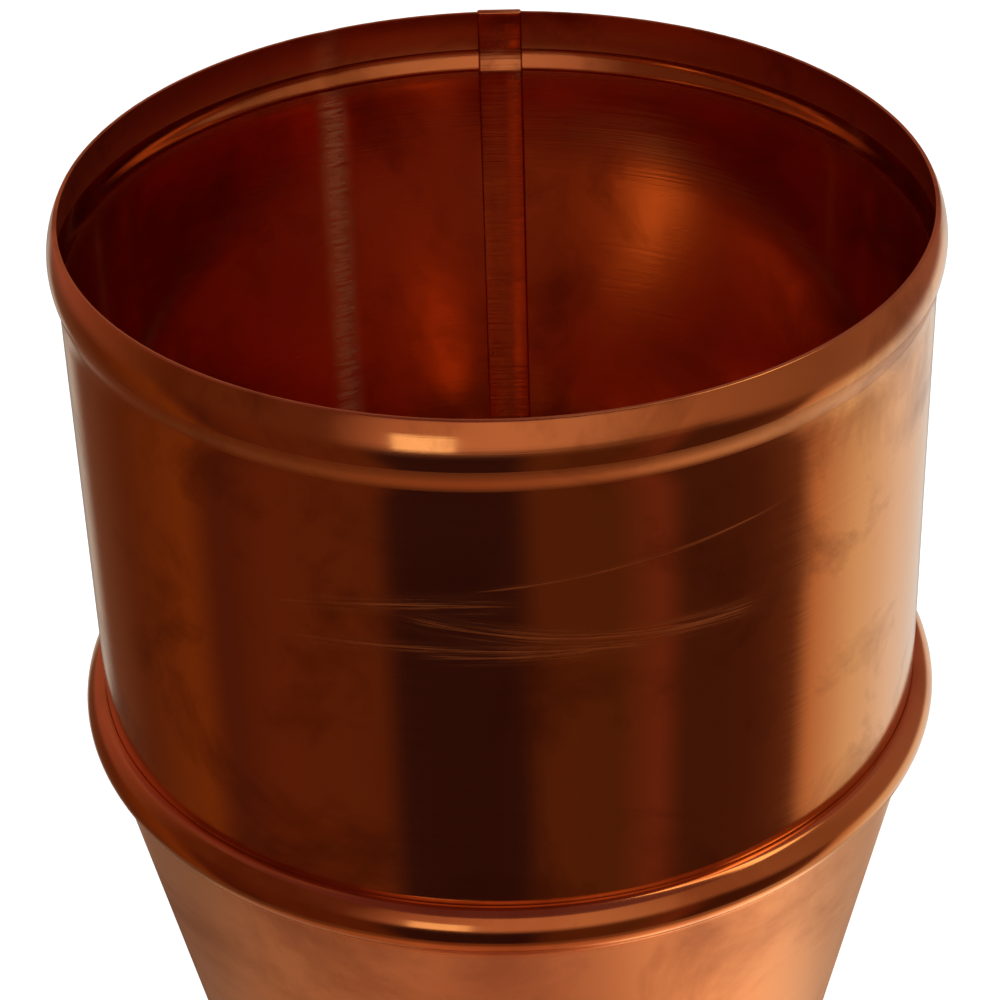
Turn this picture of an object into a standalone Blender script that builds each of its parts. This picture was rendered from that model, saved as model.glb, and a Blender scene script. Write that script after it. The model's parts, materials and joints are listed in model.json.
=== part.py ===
"""Manual rain gauge: a sheet copper catch cylinder on a tapered neck, over a slim case with its measure.

+Z is up and the gauge stands on z = 0, with its axis on the Z axis. Lengths are in metres.
"""

import math

import bmesh
import bpy
from mathutils import Matrix

# ---------------------------------------------------------------- driving sizes
SHEET = 0.0006          # copper sheet
FIT_GAP = 0.0003        # between pieces that touch or are soldered
SLIDE_GAP = 0.0005      # between pieces that slide in one another
RIM_HEIGHT = 0.420      # rim of the gauge above the ground
APERTURE_RADIUS = 0.0635    # the 5 inch collecting area, at the cut edge of the rim

RIM_TO_WALL = 0.0003    # how far the cut edge leans in from the wall
RIM_BEAD_HEIGHT = 0.0101
RIM_BEAD_DEPTH = 0.00125
RING_BEAD_DROP = 0.0806     # rim to the top of the ring bead
RING_BEAD_HEIGHT = 0.0084
RING_BEAD_DEPTH = 0.00245
NECK_SHOULDER = 0.0004  # how far the neck's cone starts outside its socket
NECK_TAPER = 0.205      # radius lost for each unit of height
CYLINDER_INTO_BEAD = 0.0064     # how far the catch cylinder reaches below the bead's top

SEAM_WIDTH = 0.0072
SEAM_THICKNESS = 0.0012
SEAM_PROUD = 0.0006     # the folded seam stands this much above the cut edge
SEAM_AZIMUTH = math.radians(88.7)

CASE_RADIUS = 0.0470    # outside of the case
CASE_ABOVE_COLLAR = 0.003   # case standing above the collar's top, inside the neck
CASE_FOOT = 0.004       # lower edge of the case wall
CASE_BEAD_DEPTH = 0.0020
CASE_BEAD_HEIGHT = 0.0056
CASE_FLOOR = 0.0106     # top face of the case's floor
COLLAR_LENGTH = 0.031
COLLAR_HEM_DEPTH = 0.0012
COLLAR_HEM_HEIGHT = 0.0032
COLLAR_INTO_NECK = 0.0045
NECK_LIP = 0.0054       # plain end of the neck, outside the slip collar

FOOT_RADIUS = 0.066
FOOT_THICKNESS = 0.0016
FOOT_WIDTH = 0.006
FOOT_CHAMFER = 0.0004
SPLAY_TAPER = 0.205     # radius gained for each unit of height, as on the neck
SPLAY_LIP = 0.008       # plain end of the splay, lapped round the case

DISC_FLANGE = 0.006     # turned edge of each floor
CAN_BELOW_CASE = 0.003
INNER_CAN_SHEET = 0.0005
INNER_CAN_SKIRT = 0.0021    # can wall below its own floor

TUBE_BORE_RADIUS = 0.02008  # a tenth of the collecting area
TUBE_WALL = 0.0020
TUBE_FLOOR = 0.004
TUBE_BELOW_CAN = 0.0072     # the can's rim stands above the lip of the tube
BRASS = 0.0008
SEAT_HEIGHT = 0.009
PAD_THICKNESS = 0.0025
TUBE_FOOT_HEIGHT = 0.0145
FERRULE_HEIGHT = 0.006
FERRULE_BELOW_LIP = 0.002

GUIDE_BELOW_LIP = 0.0158
GUIDE_HEIGHT = 0.006
GUIDE_ARM_WIDTH = 0.006
GUIDE_ARMS = 3
GUIDE_TAB = 0.010

PIVOT_BELOW_CAN = 0.014 # bail's pivot below the can's rim
BAIL_BEND = 0.003
BAIL_WIRE_RADIUS = 0.00125
EAR_WIDTH = 0.010
EAR_HEIGHT = 0.018
EAR_THICKNESS = 0.0008
EAR_MARGIN = 0.001      # plate above the eye
EYE_RADIUS = 0.0031
EYE_LENGTH = 0.0024
RIVET_RADIUS = 0.0011
RIVET_HEAD = 0.0007
RIVET_MARGIN = 0.003    # lower rivet above the ear's foot
RIVET_PITCH = 0.0045

FUNNEL_SLOPE = 0.785    # height lost for each unit of radius
FUNNEL_FLANGE = 0.005
FUNNEL_NECK = 0.006
SPOUT_RADIUS = 0.0065
SPOUT_INTO_TUBE = 0.012
SPOUT_INTO_NECK = 0.005
SOLDER_SIZE = 0.0009

STRAINER_RADIUS = 0.0165
STRAINER_RING_HEIGHT = 0.003
STRAINER_RING_WIDTH = 0.0016
DOME_RISE = 0.009
DOME_THICKNESS = 0.0006
LOOP_RADIUS = 0.005
LOOP_WIRE_RADIUS = 0.0007
LOOP_LEG = 0.002

ROUND_STEPS = 48        # sides of the large round pieces
SMALL_STEPS = 24

# ---------------------------------------------------------------- sizes that follow
WALL_IN = APERTURE_RADIUS + RIM_TO_WALL
WALL_OUT = WALL_IN + SHEET
SOCKET_IN = WALL_OUT + FIT_GAP
BEAD_TOP = RIM_HEIGHT - RING_BEAD_DROP
BEAD_FOOT = BEAD_TOP - RING_BEAD_HEIGHT
CYLINDER_FOOT = BEAD_TOP - CYLINDER_INTO_BEAD

CASE_IN = CASE_RADIUS - SHEET
COLLAR_IN = CASE_RADIUS + SLIDE_GAP
COLLAR_OUT = COLLAR_IN + SHEET
NECK_LIP_OUT = COLLAR_OUT + FIT_GAP + SHEET
CONE_TOP_OUT = SOCKET_IN + NECK_SHOULDER
NECK_FOOT = BEAD_FOOT - (CONE_TOP_OUT - NECK_LIP_OUT) / NECK_TAPER
COLLAR_TOP = NECK_FOOT - NECK_LIP + COLLAR_INTO_NECK
COLLAR_FOOT = COLLAR_TOP - COLLAR_LENGTH
CASE_TOP = COLLAR_TOP + CASE_ABOVE_COLLAR
CASE_BEAD_TOP = COLLAR_FOOT - FIT_GAP

SPLAY_TOP_OUT = CASE_RADIUS + FIT_GAP + SHEET
SPLAY_FOOT_OUT = FOOT_RADIUS - FOOT_WIDTH / 2 + SHEET / 2

INNER_CAN_TOP = CASE_TOP - CAN_BELOW_CASE
INNER_CAN_FOOT = CASE_FLOOR + FIT_GAP
INNER_CAN_OUT = CASE_IN - SLIDE_GAP
INNER_CAN_IN = INNER_CAN_OUT - INNER_CAN_SHEET
INNER_CAN_FLAT = INNER_CAN_IN * math.cos(math.pi / ROUND_STEPS)     # middle of a facet
INNER_FLOOR = INNER_CAN_FOOT + INNER_CAN_SKIRT

TUBE_OUT = TUBE_BORE_RADIUS + TUBE_WALL
TUBE_SOCKET = TUBE_OUT + FIT_GAP
TUBE_FOOT_OUT = TUBE_SOCKET + BRASS
SEAT_IN = TUBE_FOOT_OUT + SLIDE_GAP
SEAT_FOOT = INNER_FLOOR + INNER_CAN_SHEET + FIT_GAP
PAD_FOOT = SEAT_FOOT + BRASS + FIT_GAP
TUBE_FOOT_BASE = PAD_FOOT + PAD_THICKNESS + FIT_GAP
TUBE_BASE = TUBE_FOOT_BASE + BRASS + FIT_GAP
TUBE_TOP = INNER_CAN_TOP - TUBE_BELOW_CAN
GUIDE_TOP = TUBE_TOP - GUIDE_BELOW_LIP

BAIL_PIVOT_HEIGHT = INNER_CAN_TOP - PIVOT_BELOW_CAN
EAR_FACE = math.sqrt(INNER_CAN_FLAT ** 2 - (EAR_WIDTH / 2) ** 2) - FIT_GAP - EAR_THICKNESS
EAR_FOOT = BAIL_PIVOT_HEIGHT + EYE_RADIUS + EAR_MARGIN - EAR_HEIGHT
BAIL_RADIUS = EAR_FACE - EYE_LENGTH - BAIL_BEND - FIT_GAP

FUNNEL_OUT = WALL_IN - FIT_GAP
FUNNEL_NECK_IN = SPOUT_RADIUS + FIT_GAP
FUNNEL_FOOT = CYLINDER_FOOT - FUNNEL_SLOPE * (FUNNEL_OUT - SHEET - FUNNEL_NECK_IN)
SPOUT_FOOT = TUBE_TOP - SPOUT_INTO_TUBE
SPOUT_TOP = FUNNEL_FOOT - FUNNEL_NECK + SPOUT_INTO_NECK
STRAINER_FOOT = FUNNEL_FOOT + SHEET + (STRAINER_RADIUS - FUNNEL_NECK_IN) * FUNNEL_SLOPE
DOME_FOOT = STRAINER_FOOT + STRAINER_RING_HEIGHT + FIT_GAP

# ---------------------------------------------------------------- materials: colour, roughness, metallic
COPPER = ((0.80, 0.38, 0.19), 0.20, 1.0)
SATIN_COPPER = ((0.76, 0.38, 0.20), 0.34, 1.0)
DULL_COPPER = ((0.60, 0.28, 0.15), 0.42, 1.0)
BRASS_METAL = ((0.80, 0.58, 0.26), 0.30, 1.0)
SOLDER = ((0.62, 0.61, 0.58), 0.40, 1.0)
RUBBER = ((0.03, 0.03, 0.03), 0.80, 0.0)
GLASS = ((0.92, 0.96, 0.95), 0.03, 0.0)


def own_material(name, look):
    colour, roughness, metallic = look
    material = bpy.data.materials.new(f"{name}_material")
    material.use_nodes = True
    material.diffuse_color = (*colour, 1.0)
    shader = material.node_tree.nodes["Principled BSDF"]
    shader.inputs["Base Color"].default_value = (*colour, 1.0)
    shader.inputs["Roughness"].default_value = roughness
    shader.inputs["Metallic"].default_value = metallic
    shader.inputs["Transmission Weight"].default_value = 1.0 if look is GLASS else 0.0
    return material


# ---------------------------------------------------------------- building tools
def link(name, data, look, group):
    """Puts mesh or curve data in the scene, in a material of its own and under its group's empty."""
    data.materials.append(own_material(name, look))
    piece = bpy.data.objects.new(name, data)
    piece.parent = group
    bpy.context.scene.collection.objects.link(piece)
    return piece


def group_empty(name, height=0.0):
    """Parent of the pieces that move as one. Its origin is on their joint's axis."""
    empty = bpy.data.objects.new(name, None)
    empty.location.z = height
    bpy.context.scene.collection.objects.link(empty)
    return empty


def turned_mesh(name, outline, steps, turn=2 * math.pi, start=0.0):
    """A closed outline of (radius, height) points, spun about Z. Less than a full turn keeps flat ends."""
    work = bmesh.new()
    face = work.faces.new([work.verts.new((radius, 0, height)) for radius, height in outline])
    full = turn > 2 * math.pi - 1e-6
    loop = [*face.verts, *face.edges]
    if full:
        work.faces.remove(face)
    else:
        loop.append(face)
    bmesh.ops.spin(work, geom=loop, axis=(0, 0, 1), angle=turn, steps=steps, use_merge=full)
    bmesh.ops.remove_doubles(work, verts=work.verts, dist=1e-6)
    bmesh.ops.recalc_face_normals(work, faces=work.faces)
    bmesh.ops.rotate(work, verts=work.verts, matrix=Matrix.Rotation(start, 3, "Z"))
    mesh = bpy.data.meshes.new(name)
    work.to_mesh(mesh)
    work.free()
    mesh.shade_smooth()
    mesh.set_sharp_from_angle(angle=math.radians(35))
    return mesh


def turned(name, outline, look, group, steps=ROUND_STEPS):
    return link(name, turned_mesh(name, outline, steps), look, group)


def arc(start, end, bulge, count):
    """Points between start and end on a circular arc that stands out from their line by bulge."""
    (r0, z0), (r1, z1) = start, end
    chord = math.hypot(r1 - r0, z1 - z0)
    radius = (chord ** 2 / 4 + bulge ** 2) / (2 * bulge)
    half = math.asin(chord / 2 / radius)
    points = []
    for i in range(1, count):
        angle = half * (2 * i / count - 1)
        along = 0.5 + radius * math.sin(angle) / chord
        out = radius * math.cos(angle) - radius + bulge
        points.append((r0 + (r1 - r0) * along + out, z0 + (z1 - z0) * along))
    return points


def sheet_outline(line, thickness=SHEET):
    """A closed outline from an outer line, top to bottom, and the same line moved in by the thickness."""
    return [*line, *((radius - thickness, height) for radius, height in reversed(line))]


def bar_mesh(name, outline, width):
    """A closed outline of (x, z) points, extruded along Y by the width and centred on it."""
    work = bmesh.new()
    face = work.faces.new([work.verts.new((x, -width / 2, z)) for x, z in outline])
    made = bmesh.ops.extrude_face_region(work, geom=[face])["geom"]
    bmesh.ops.translate(work, verts=[part for part in made if isinstance(part, bmesh.types.BMVert)],
                        vec=(0, width, 0))
    bmesh.ops.recalc_face_normals(work, faces=work.faces)
    mesh = bpy.data.meshes.new(name)
    work.to_mesh(mesh)
    work.free()
    return mesh


def join(piece, name, mesh):
    """Unites a mesh with the piece."""
    other = bpy.data.objects.new(name, mesh)
    other.hide_render = True
    other.display_type = "WIRE"
    bpy.context.scene.collection.objects.link(other)
    union = piece.modifiers.new(name, "BOOLEAN")
    union.operation = "UNION"
    union.solver = "EXACT"
    union.object = other


def wire(name, points, radius, look, group):
    """A round wire along the points, with closed ends."""
    curve = bpy.data.curves.new(name, "CURVE")
    curve.dimensions = "3D"
    curve.bevel_depth = radius
    curve.bevel_resolution = 2
    curve.use_fill_caps = True
    spline = curve.splines.new("POLY")
    spline.points.add(len(points) - 1)
    for spot, point in zip(spline.points, points):
        spot.co = (*point, 1.0)
    return link(name, curve, look, group)


# ---------------------------------------------------------------- the collector
def catch_cylinder(group):
    """Rolled sheet with a swaged rim bead and a folded lock seam that stands inside."""
    edge = (APERTURE_RADIUS + SHEET, RIM_HEIGHT)
    under = (WALL_OUT, RIM_HEIGHT - RIM_BEAD_HEIGHT)
    line = [edge, *arc(edge, under, RIM_BEAD_DEPTH, 5), under, (WALL_OUT, CYLINDER_FOOT)]
    wall = turned("catch_cylinder", sheet_outline(line), COPPER, group)
    fold = [(radius - SHEET / 2, height) for radius, height in line]
    fold[0] = (fold[0][0], RIM_HEIGHT + SEAM_PROUD)
    fold[-1] = (fold[-1][0], CYLINDER_FOOT + FUNNEL_FLANGE + 2 * FIT_GAP + SOLDER_SIZE)
    turn = SEAM_WIDTH / WALL_IN
    outline = sheet_outline(fold, SHEET / 2 + SEAM_THICKNESS)
    join(wall, "lock_seam", turned_mesh("lock_seam", outline, 2, turn, SEAM_AZIMUTH - turn / 2))


def tapered_neck(group):
    """Ring bead and tapered neck in one sheet. The bead's upper edge fits round the catch cylinder."""
    bead_top = (SOCKET_IN + SHEET, BEAD_TOP)
    bead_foot = (CONE_TOP_OUT, BEAD_FOOT)
    line = [
        bead_top, *arc(bead_top, bead_foot, RING_BEAD_DEPTH, 6), bead_foot,
        (NECK_LIP_OUT, NECK_FOOT), (NECK_LIP_OUT, NECK_FOOT - NECK_LIP),
    ]
    turned("tapered_neck", sheet_outline(line), SATIN_COPPER, group)


def slip_collar(group):
    """Sleeve that slides over the case. Its hollow hem lands on the case's bead."""
    hem_top = (COLLAR_OUT, COLLAR_FOOT + COLLAR_HEM_HEIGHT)
    hem_foot = (COLLAR_OUT, COLLAR_FOOT)
    outline = [
        (COLLAR_OUT, COLLAR_TOP), hem_top, *arc(hem_top, hem_foot, COLLAR_HEM_DEPTH, 4), hem_foot,
        (COLLAR_IN, COLLAR_FOOT), (COLLAR_IN, COLLAR_TOP),
    ]
    turned("slip_collar", outline, COPPER, group)


def catch_funnel(group):
    """Funnel soldered inside the foot of the catch cylinder."""
    inner = FUNNEL_OUT - SHEET
    outline = [
        (FUNNEL_OUT, CYLINDER_FOOT + FUNNEL_FLANGE), (FUNNEL_OUT, CYLINDER_FOOT),
        (FUNNEL_NECK_IN + SHEET, FUNNEL_FOOT), (FUNNEL_NECK_IN + SHEET, FUNNEL_FOOT - FUNNEL_NECK),
        (FUNNEL_NECK_IN, FUNNEL_FOOT - FUNNEL_NECK), (FUNNEL_NECK_IN, FUNNEL_FOOT + SHEET),
        (inner, CYLINDER_FOOT + SHEET), (inner, CYLINDER_FOOT + FUNNEL_FLANGE),
    ]
    turned("catch_funnel", outline, COPPER, group)


def solder_ring(group):
    """Fillet of solder that seals the funnel's flange to the cylinder wall."""
    foot = CYLINDER_FOOT + FUNNEL_FLANGE + FIT_GAP
    out = WALL_IN - FIT_GAP
    outline = [(out, foot), (out, foot + SOLDER_SIZE), (out - SOLDER_SIZE, foot)]
    turned("solder_ring", outline, SOLDER, group)


def spout_tube(group):
    """Drip tube from the funnel's neck down into the measuring tube."""
    line = [(SPOUT_RADIUS, SPOUT_TOP), (SPOUT_RADIUS, SPOUT_FOOT)]
    turned("spout_tube", sheet_outline(line), COPPER, group, SMALL_STEPS)


# ---------------------------------------------------------------- the strainer
def strainer_ring(group):
    """Ring that rests in the funnel, chamfered below to the funnel's slope."""
    inside = STRAINER_RADIUS - STRAINER_RING_WIDTH
    top = STRAINER_FOOT + STRAINER_RING_HEIGHT
    outline = [
        (STRAINER_RADIUS, STRAINER_FOOT + FIT_GAP), (STRAINER_RADIUS, top), (inside, top),
        (inside, STRAINER_FOOT + FIT_GAP - STRAINER_RING_WIDTH * FUNNEL_SLOPE),
    ]
    turned("strainer_ring", outline, BRASS_METAL, group, SMALL_STEPS)


def strainer_gauze(group):
    """Domed gauze above the ring, as one thin shell."""
    edge = STRAINER_RADIUS - STRAINER_RING_WIDTH / 2
    sphere = (edge ** 2 + DOME_RISE ** 2) / (2 * DOME_RISE)
    rings = 4
    outline = []
    for radius in (sphere, sphere - DOME_THICKNESS):
        centre = DOME_FOOT + DOME_RISE - sphere
        half = math.acos((DOME_FOOT - centre) / radius)
        side = [(radius * math.sin(half * i / rings), centre + radius * math.cos(half * i / rings))
                for i in range(rings + 1)]
        outline += side if radius == sphere else reversed(side)
    turned("strainer_gauze", outline, BRASS_METAL, group, SMALL_STEPS)


def strainer_loop(group):
    """Wire loop on top of the dome, to lift the strainer by."""
    foot = DOME_FOOT + DOME_RISE + FIT_GAP
    centre = foot + LOOP_LEG
    count = 12
    points = [(-LOOP_RADIUS, 0, foot)]
    for i in range(count + 1):
        angle = math.pi * (1 - i / count)
        points.append((LOOP_RADIUS * math.cos(angle), 0, centre + LOOP_RADIUS * math.sin(angle)))
    points.append((LOOP_RADIUS, 0, foot))
    wire("strainer_loop", points, LOOP_WIRE_RADIUS, BRASS_METAL, group)


# ---------------------------------------------------------------- the case
def case_wall(group):
    """Outer case, with the bead that carries the collector's collar."""
    top = (CASE_RADIUS, CASE_BEAD_TOP)
    foot = (CASE_RADIUS, CASE_BEAD_TOP - CASE_BEAD_HEIGHT)
    line = [(CASE_RADIUS, CASE_TOP), top, *arc(top, foot, CASE_BEAD_DEPTH, 5), foot, (CASE_RADIUS, CASE_FOOT)]
    turned("case_wall", sheet_outline(line), COPPER, group)


def floor_disc(name, radius, face, sheet, turn_up, look, group):
    """A disc whose edge is turned up or down. Face is the height of the side away from the turned edge."""
    way = 1 if turn_up else -1
    outline = [
        (0, face), (radius, face), (radius, face + way * DISC_FLANGE),
        (radius - sheet, face + way * DISC_FLANGE), (radius - sheet, face + way * sheet),
        (0, face + way * sheet),
    ]
    turned(name, outline, look, group)


def splayed_foot(group):
    """Flared skirt that steadies the case, lapped round it at the top."""
    foot = FOOT_THICKNESS + FIT_GAP
    shoulder = foot + (SPLAY_FOOT_OUT - SPLAY_TOP_OUT) / SPLAY_TAPER
    line = [(SPLAY_TOP_OUT, shoulder + SPLAY_LIP), (SPLAY_TOP_OUT, shoulder), (SPLAY_FOOT_OUT, foot)]
    turned("splayed_foot", sheet_outline(line), SATIN_COPPER, group)


def foot_ring(group):
    """Flat ring under the splay. The gauge stands on its lower face."""
    inside = FOOT_RADIUS - FOOT_WIDTH
    outline = [
        (inside, 0), (FOOT_RADIUS - FOOT_CHAMFER, 0), (FOOT_RADIUS, FOOT_CHAMFER),
        (FOOT_RADIUS, FOOT_THICKNESS), (inside, FOOT_THICKNESS),
    ]
    turned("foot_ring", outline, BRASS_METAL, group)


# ---------------------------------------------------------------- the inner can
def inner_can_wall(group):
    line = [(INNER_CAN_OUT, INNER_CAN_TOP), (INNER_CAN_OUT, INNER_CAN_FOOT)]
    turned("inner_can_wall", sheet_outline(line, INNER_CAN_SHEET), DULL_COPPER, group)


def tube_seat(group):
    """Cup on the can's floor that keeps the measuring tube central."""
    outside = SEAT_IN + BRASS
    outline = [
        (0, SEAT_FOOT), (outside, SEAT_FOOT), (outside, SEAT_FOOT + SEAT_HEIGHT),
        (SEAT_IN, SEAT_FOOT + SEAT_HEIGHT), (SEAT_IN, SEAT_FOOT + BRASS), (0, SEAT_FOOT + BRASS),
    ]
    turned("tube_seat", outline, BRASS_METAL, group, SMALL_STEPS)


def seat_pad(group):
    radius = SEAT_IN - FIT_GAP
    top = PAD_FOOT + PAD_THICKNESS
    turned("seat_pad", [(0, PAD_FOOT), (radius, PAD_FOOT), (radius, top), (0, top)], RUBBER, group,
           SMALL_STEPS)


def tube_guide(group):
    """Ring round the top of the tube, on arms whose tabs are soldered to the can."""
    foot = GUIDE_TOP - GUIDE_HEIGHT
    inside = TUBE_FOOT_OUT + SLIDE_GAP
    line = [(inside + BRASS, GUIDE_TOP), (inside + BRASS, foot)]
    guide = turned("tube_guide", sheet_outline(line, BRASS), BRASS_METAL, group, SMALL_STEPS)
    start = inside + BRASS / 2
    reach = math.sqrt(INNER_CAN_FLAT ** 2 - (GUIDE_ARM_WIDTH / 2) ** 2) - FIT_GAP
    low, high = foot + BRASS, foot + BRASS * 2
    outline = [(start, low), (reach - BRASS, low), (reach - BRASS, high - GUIDE_TAB),
               (reach, high - GUIDE_TAB), (reach, high), (start, high)]
    for i in range(GUIDE_ARMS):
        arm = bar_mesh(f"guide_arm_{i}", outline, GUIDE_ARM_WIDTH)
        arm.transform(Matrix.Rotation(math.pi / 2 + 2 * math.pi * i / GUIDE_ARMS, 4, "Z"))
        join(guide, arm.name, arm)


def bail_ear(name, side, group):
    """Plate on the can's wall, with the blind eye that the bail's end turns in."""
    top = EAR_FOOT + EAR_HEIGHT
    near, far = side * EAR_FACE, side * (EAR_FACE + EAR_THICKNESS)
    plate = bar_mesh(name, [(near, EAR_FOOT), (far, EAR_FOOT), (far, top), (near, top)], EAR_WIDTH)
    ear = link(name, plate, BRASS_METAL, group)
    rooted = EAR_THICKNESS / 2
    line = [(EYE_RADIUS, rooted), (EYE_RADIUS, -EYE_LENGTH)]
    eye = turned_mesh(f"{name}_eye", sheet_outline(line, EYE_RADIUS - BAIL_WIRE_RADIUS - FIT_GAP), 16)
    eye.transform(Matrix.Translation((side * EAR_FACE, 0, BAIL_PIVOT_HEIGHT))
                  @ Matrix.Rotation(side * math.pi / 2, 4, "Y"))
    join(ear, f"{name}_eye", eye)


def ear_rivets(group):
    """Two rivet heads on each ear, below its eye. The four share one mesh."""
    outline = [
        (0, 0), (RIVET_RADIUS, 0), (RIVET_RADIUS * 0.9, RIVET_HEAD * 0.6), (RIVET_RADIUS * 0.5, RIVET_HEAD),
        (0, RIVET_HEAD),
    ]
    head = turned_mesh("rivet_head", outline, 12)
    lower = EAR_FOOT + RIVET_MARGIN
    for side, where in ((-1, "left"), (1, "right")):
        for rank, height in (("upper", lower + RIVET_PITCH), ("lower", lower)):
            name = f"ear_rivet_{where}_{rank}"
            rivet = bpy.data.objects.new(name, head.copy())
            rivet.data.materials.append(own_material(name, COPPER))
            rivet.parent = group
            rivet.location = (side * (EAR_FACE - FIT_GAP), 0, height)
            rivet.rotation_euler.y = -side * math.pi / 2
            bpy.context.scene.collection.objects.link(rivet)


def bail_handle(group):
    """Half-round wire handle, folded flat inside the can's mouth. The group's origin is on its pivot."""
    end = EAR_FACE - FIT_GAP
    half = [(end, 0, 0)]
    for i in range(4):
        angle = math.pi / 2 * i / 3
        half.append((BAIL_RADIUS + BAIL_BEND * (1 - math.sin(angle)), BAIL_BEND * (math.cos(angle) - 1), 0))
    for i in range(1, 11):
        angle = math.pi / 2 * i / 10
        half.append((BAIL_RADIUS * math.cos(angle), -BAIL_BEND - BAIL_RADIUS * math.sin(angle), 0))
    points = half + [(-x, y, z) for x, y, z in reversed(half[:-1])]
    wire("bail_handle", points, BAIL_WIRE_RADIUS, BRASS_METAL, group)


# ---------------------------------------------------------------- the measuring tube
def glass_tube(group):
    outline = [
        (0, TUBE_BASE), (TUBE_OUT, TUBE_BASE), (TUBE_OUT, TUBE_TOP), (TUBE_BORE_RADIUS, TUBE_TOP),
        (TUBE_BORE_RADIUS, TUBE_BASE + TUBE_FLOOR), (0, TUBE_BASE + TUBE_FLOOR),
    ]
    turned("glass_tube", outline, GLASS, group, SMALL_STEPS)


def tube_foot(group):
    """Brass shoe cemented to the foot of the glass."""
    top = TUBE_FOOT_BASE + TUBE_FOOT_HEIGHT
    outline = [
        (0, TUBE_FOOT_BASE), (TUBE_FOOT_OUT, TUBE_FOOT_BASE), (TUBE_FOOT_OUT, top), (TUBE_SOCKET, top),
        (TUBE_SOCKET, TUBE_FOOT_BASE + BRASS), (0, TUBE_FOOT_BASE + BRASS),
    ]
    turned("tube_foot", outline, BRASS_METAL, group, SMALL_STEPS)


def tube_ferrule(group):
    """Brass band round the lip of the glass."""
    top = TUBE_TOP - FERRULE_BELOW_LIP
    line = [(TUBE_FOOT_OUT, top), (TUBE_FOOT_OUT, top - FERRULE_HEIGHT)]
    turned("tube_ferrule", sheet_outline(line, BRASS), BRASS_METAL, group, SMALL_STEPS)


# ---------------------------------------------------------------- assembly
def main():
    for old in list(bpy.data.objects):
        bpy.data.objects.remove(old)

    collector = group_empty("collector_group")
    catch_cylinder(collector)
    tapered_neck(collector)
    slip_collar(collector)
    catch_funnel(collector)
    solder_ring(collector)
    spout_tube(collector)

    strainer = group_empty("strainer_group")
    strainer_ring(strainer)
    strainer_gauze(strainer)
    strainer_loop(strainer)

    case = group_empty("case_group")
    case_wall(case)
    floor_disc("case_floor", CASE_IN - FIT_GAP, CASE_FLOOR, SHEET, False, COPPER, case)
    splayed_foot(case)
    foot_ring(case)

    can = group_empty("inner_can_group")
    inner_can_wall(can)
    floor_disc("inner_can_floor", INNER_CAN_IN - FIT_GAP, INNER_FLOOR, INNER_CAN_SHEET, True,
               DULL_COPPER, can)
    tube_seat(can)
    seat_pad(can)
    tube_guide(can)
    bail_ear("bail_ear_left", -1, can)
    bail_ear("bail_ear_right", 1, can)
    ear_rivets(can)

    bail_handle(group_empty("bail_group", BAIL_PIVOT_HEIGHT))

    tube = group_empty("measuring_tube_group")
    glass_tube(tube)
    tube_foot(tube)
    tube_ferrule(tube)


main()
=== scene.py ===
import json
import math

import bpy
from mathutils import Matrix, Vector, noise


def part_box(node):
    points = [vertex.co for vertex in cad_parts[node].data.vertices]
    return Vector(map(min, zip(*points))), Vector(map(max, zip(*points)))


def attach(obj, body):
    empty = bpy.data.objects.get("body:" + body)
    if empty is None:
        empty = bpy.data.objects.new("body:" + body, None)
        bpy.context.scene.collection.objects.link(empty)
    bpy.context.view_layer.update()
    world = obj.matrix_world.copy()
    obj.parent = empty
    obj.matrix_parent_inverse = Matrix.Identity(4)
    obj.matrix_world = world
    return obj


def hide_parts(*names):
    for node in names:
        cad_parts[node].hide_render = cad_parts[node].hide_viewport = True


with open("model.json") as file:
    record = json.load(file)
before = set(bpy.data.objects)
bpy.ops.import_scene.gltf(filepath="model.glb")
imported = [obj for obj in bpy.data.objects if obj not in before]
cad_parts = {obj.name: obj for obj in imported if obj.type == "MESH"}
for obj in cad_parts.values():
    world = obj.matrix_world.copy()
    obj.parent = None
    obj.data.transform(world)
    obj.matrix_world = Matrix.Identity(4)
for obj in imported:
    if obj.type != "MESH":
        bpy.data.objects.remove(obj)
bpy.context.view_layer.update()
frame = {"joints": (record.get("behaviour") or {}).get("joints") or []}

MM = 0.001


# ---------------------------------------------------------------- camera
# A short telephoto held a forearm's length from the rim, looking down into the mouth of the gauge.
SEAM_PROUD = 0.6 * MM
RIM_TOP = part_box("catch_cylinder")[1].z - SEAM_PROUD
CAMERA_IN_FRONT = 381.7 * MM
CAMERA_ABOVE_RIM = 195.1 * MM
CAMERA_TILT = math.radians(33.11)
CAMERA_TURN = math.radians(-0.10)
CAMERA_ROLL = math.radians(-1.71)

camera_data = bpy.data.cameras.new("camera")
camera_data.lens = 105.5
camera_data.sensor_width = 36
camera_data.clip_start = 0.01
camera = bpy.data.objects.new("camera", camera_data)
camera.matrix_world = (
    Matrix.Translation((0, -CAMERA_IN_FRONT, RIM_TOP + CAMERA_ABOVE_RIM))
    @ Matrix.Rotation(-CAMERA_TURN, 4, "Z")
    @ Matrix.Rotation(math.pi / 2 - CAMERA_TILT, 4, "X")
    @ Matrix.Rotation(CAMERA_ROLL, 4, "Z")
)
bpy.context.scene.collection.objects.link(camera)
bpy.context.scene.camera = camera
bpy.context.scene.view_settings.view_transform = "Standard"
bpy.context.scene.cycles.max_bounces = 14
bpy.context.scene.cycles.glossy_bounces = 12


# ---------------------------------------------------------------- studio
# A pale floor under soft overhead light. Bright copper mirrors its surroundings, so warm cards stand
# in a ring round the gauge, lie round its foot and hang over it, dark in front and light to the
# right. They are seen only by what is polished.
FLOOR_SIZE = 12.0
RING_RADIUS = 0.36
RING_FOOT = 0.004
RING_TOP = 0.64
SKIRTING = (0.28, 0.37)     # heights between which the low cards give way to the high ones
RIGHT_DROP = 0.10           # how much lower that is at the far right
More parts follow.
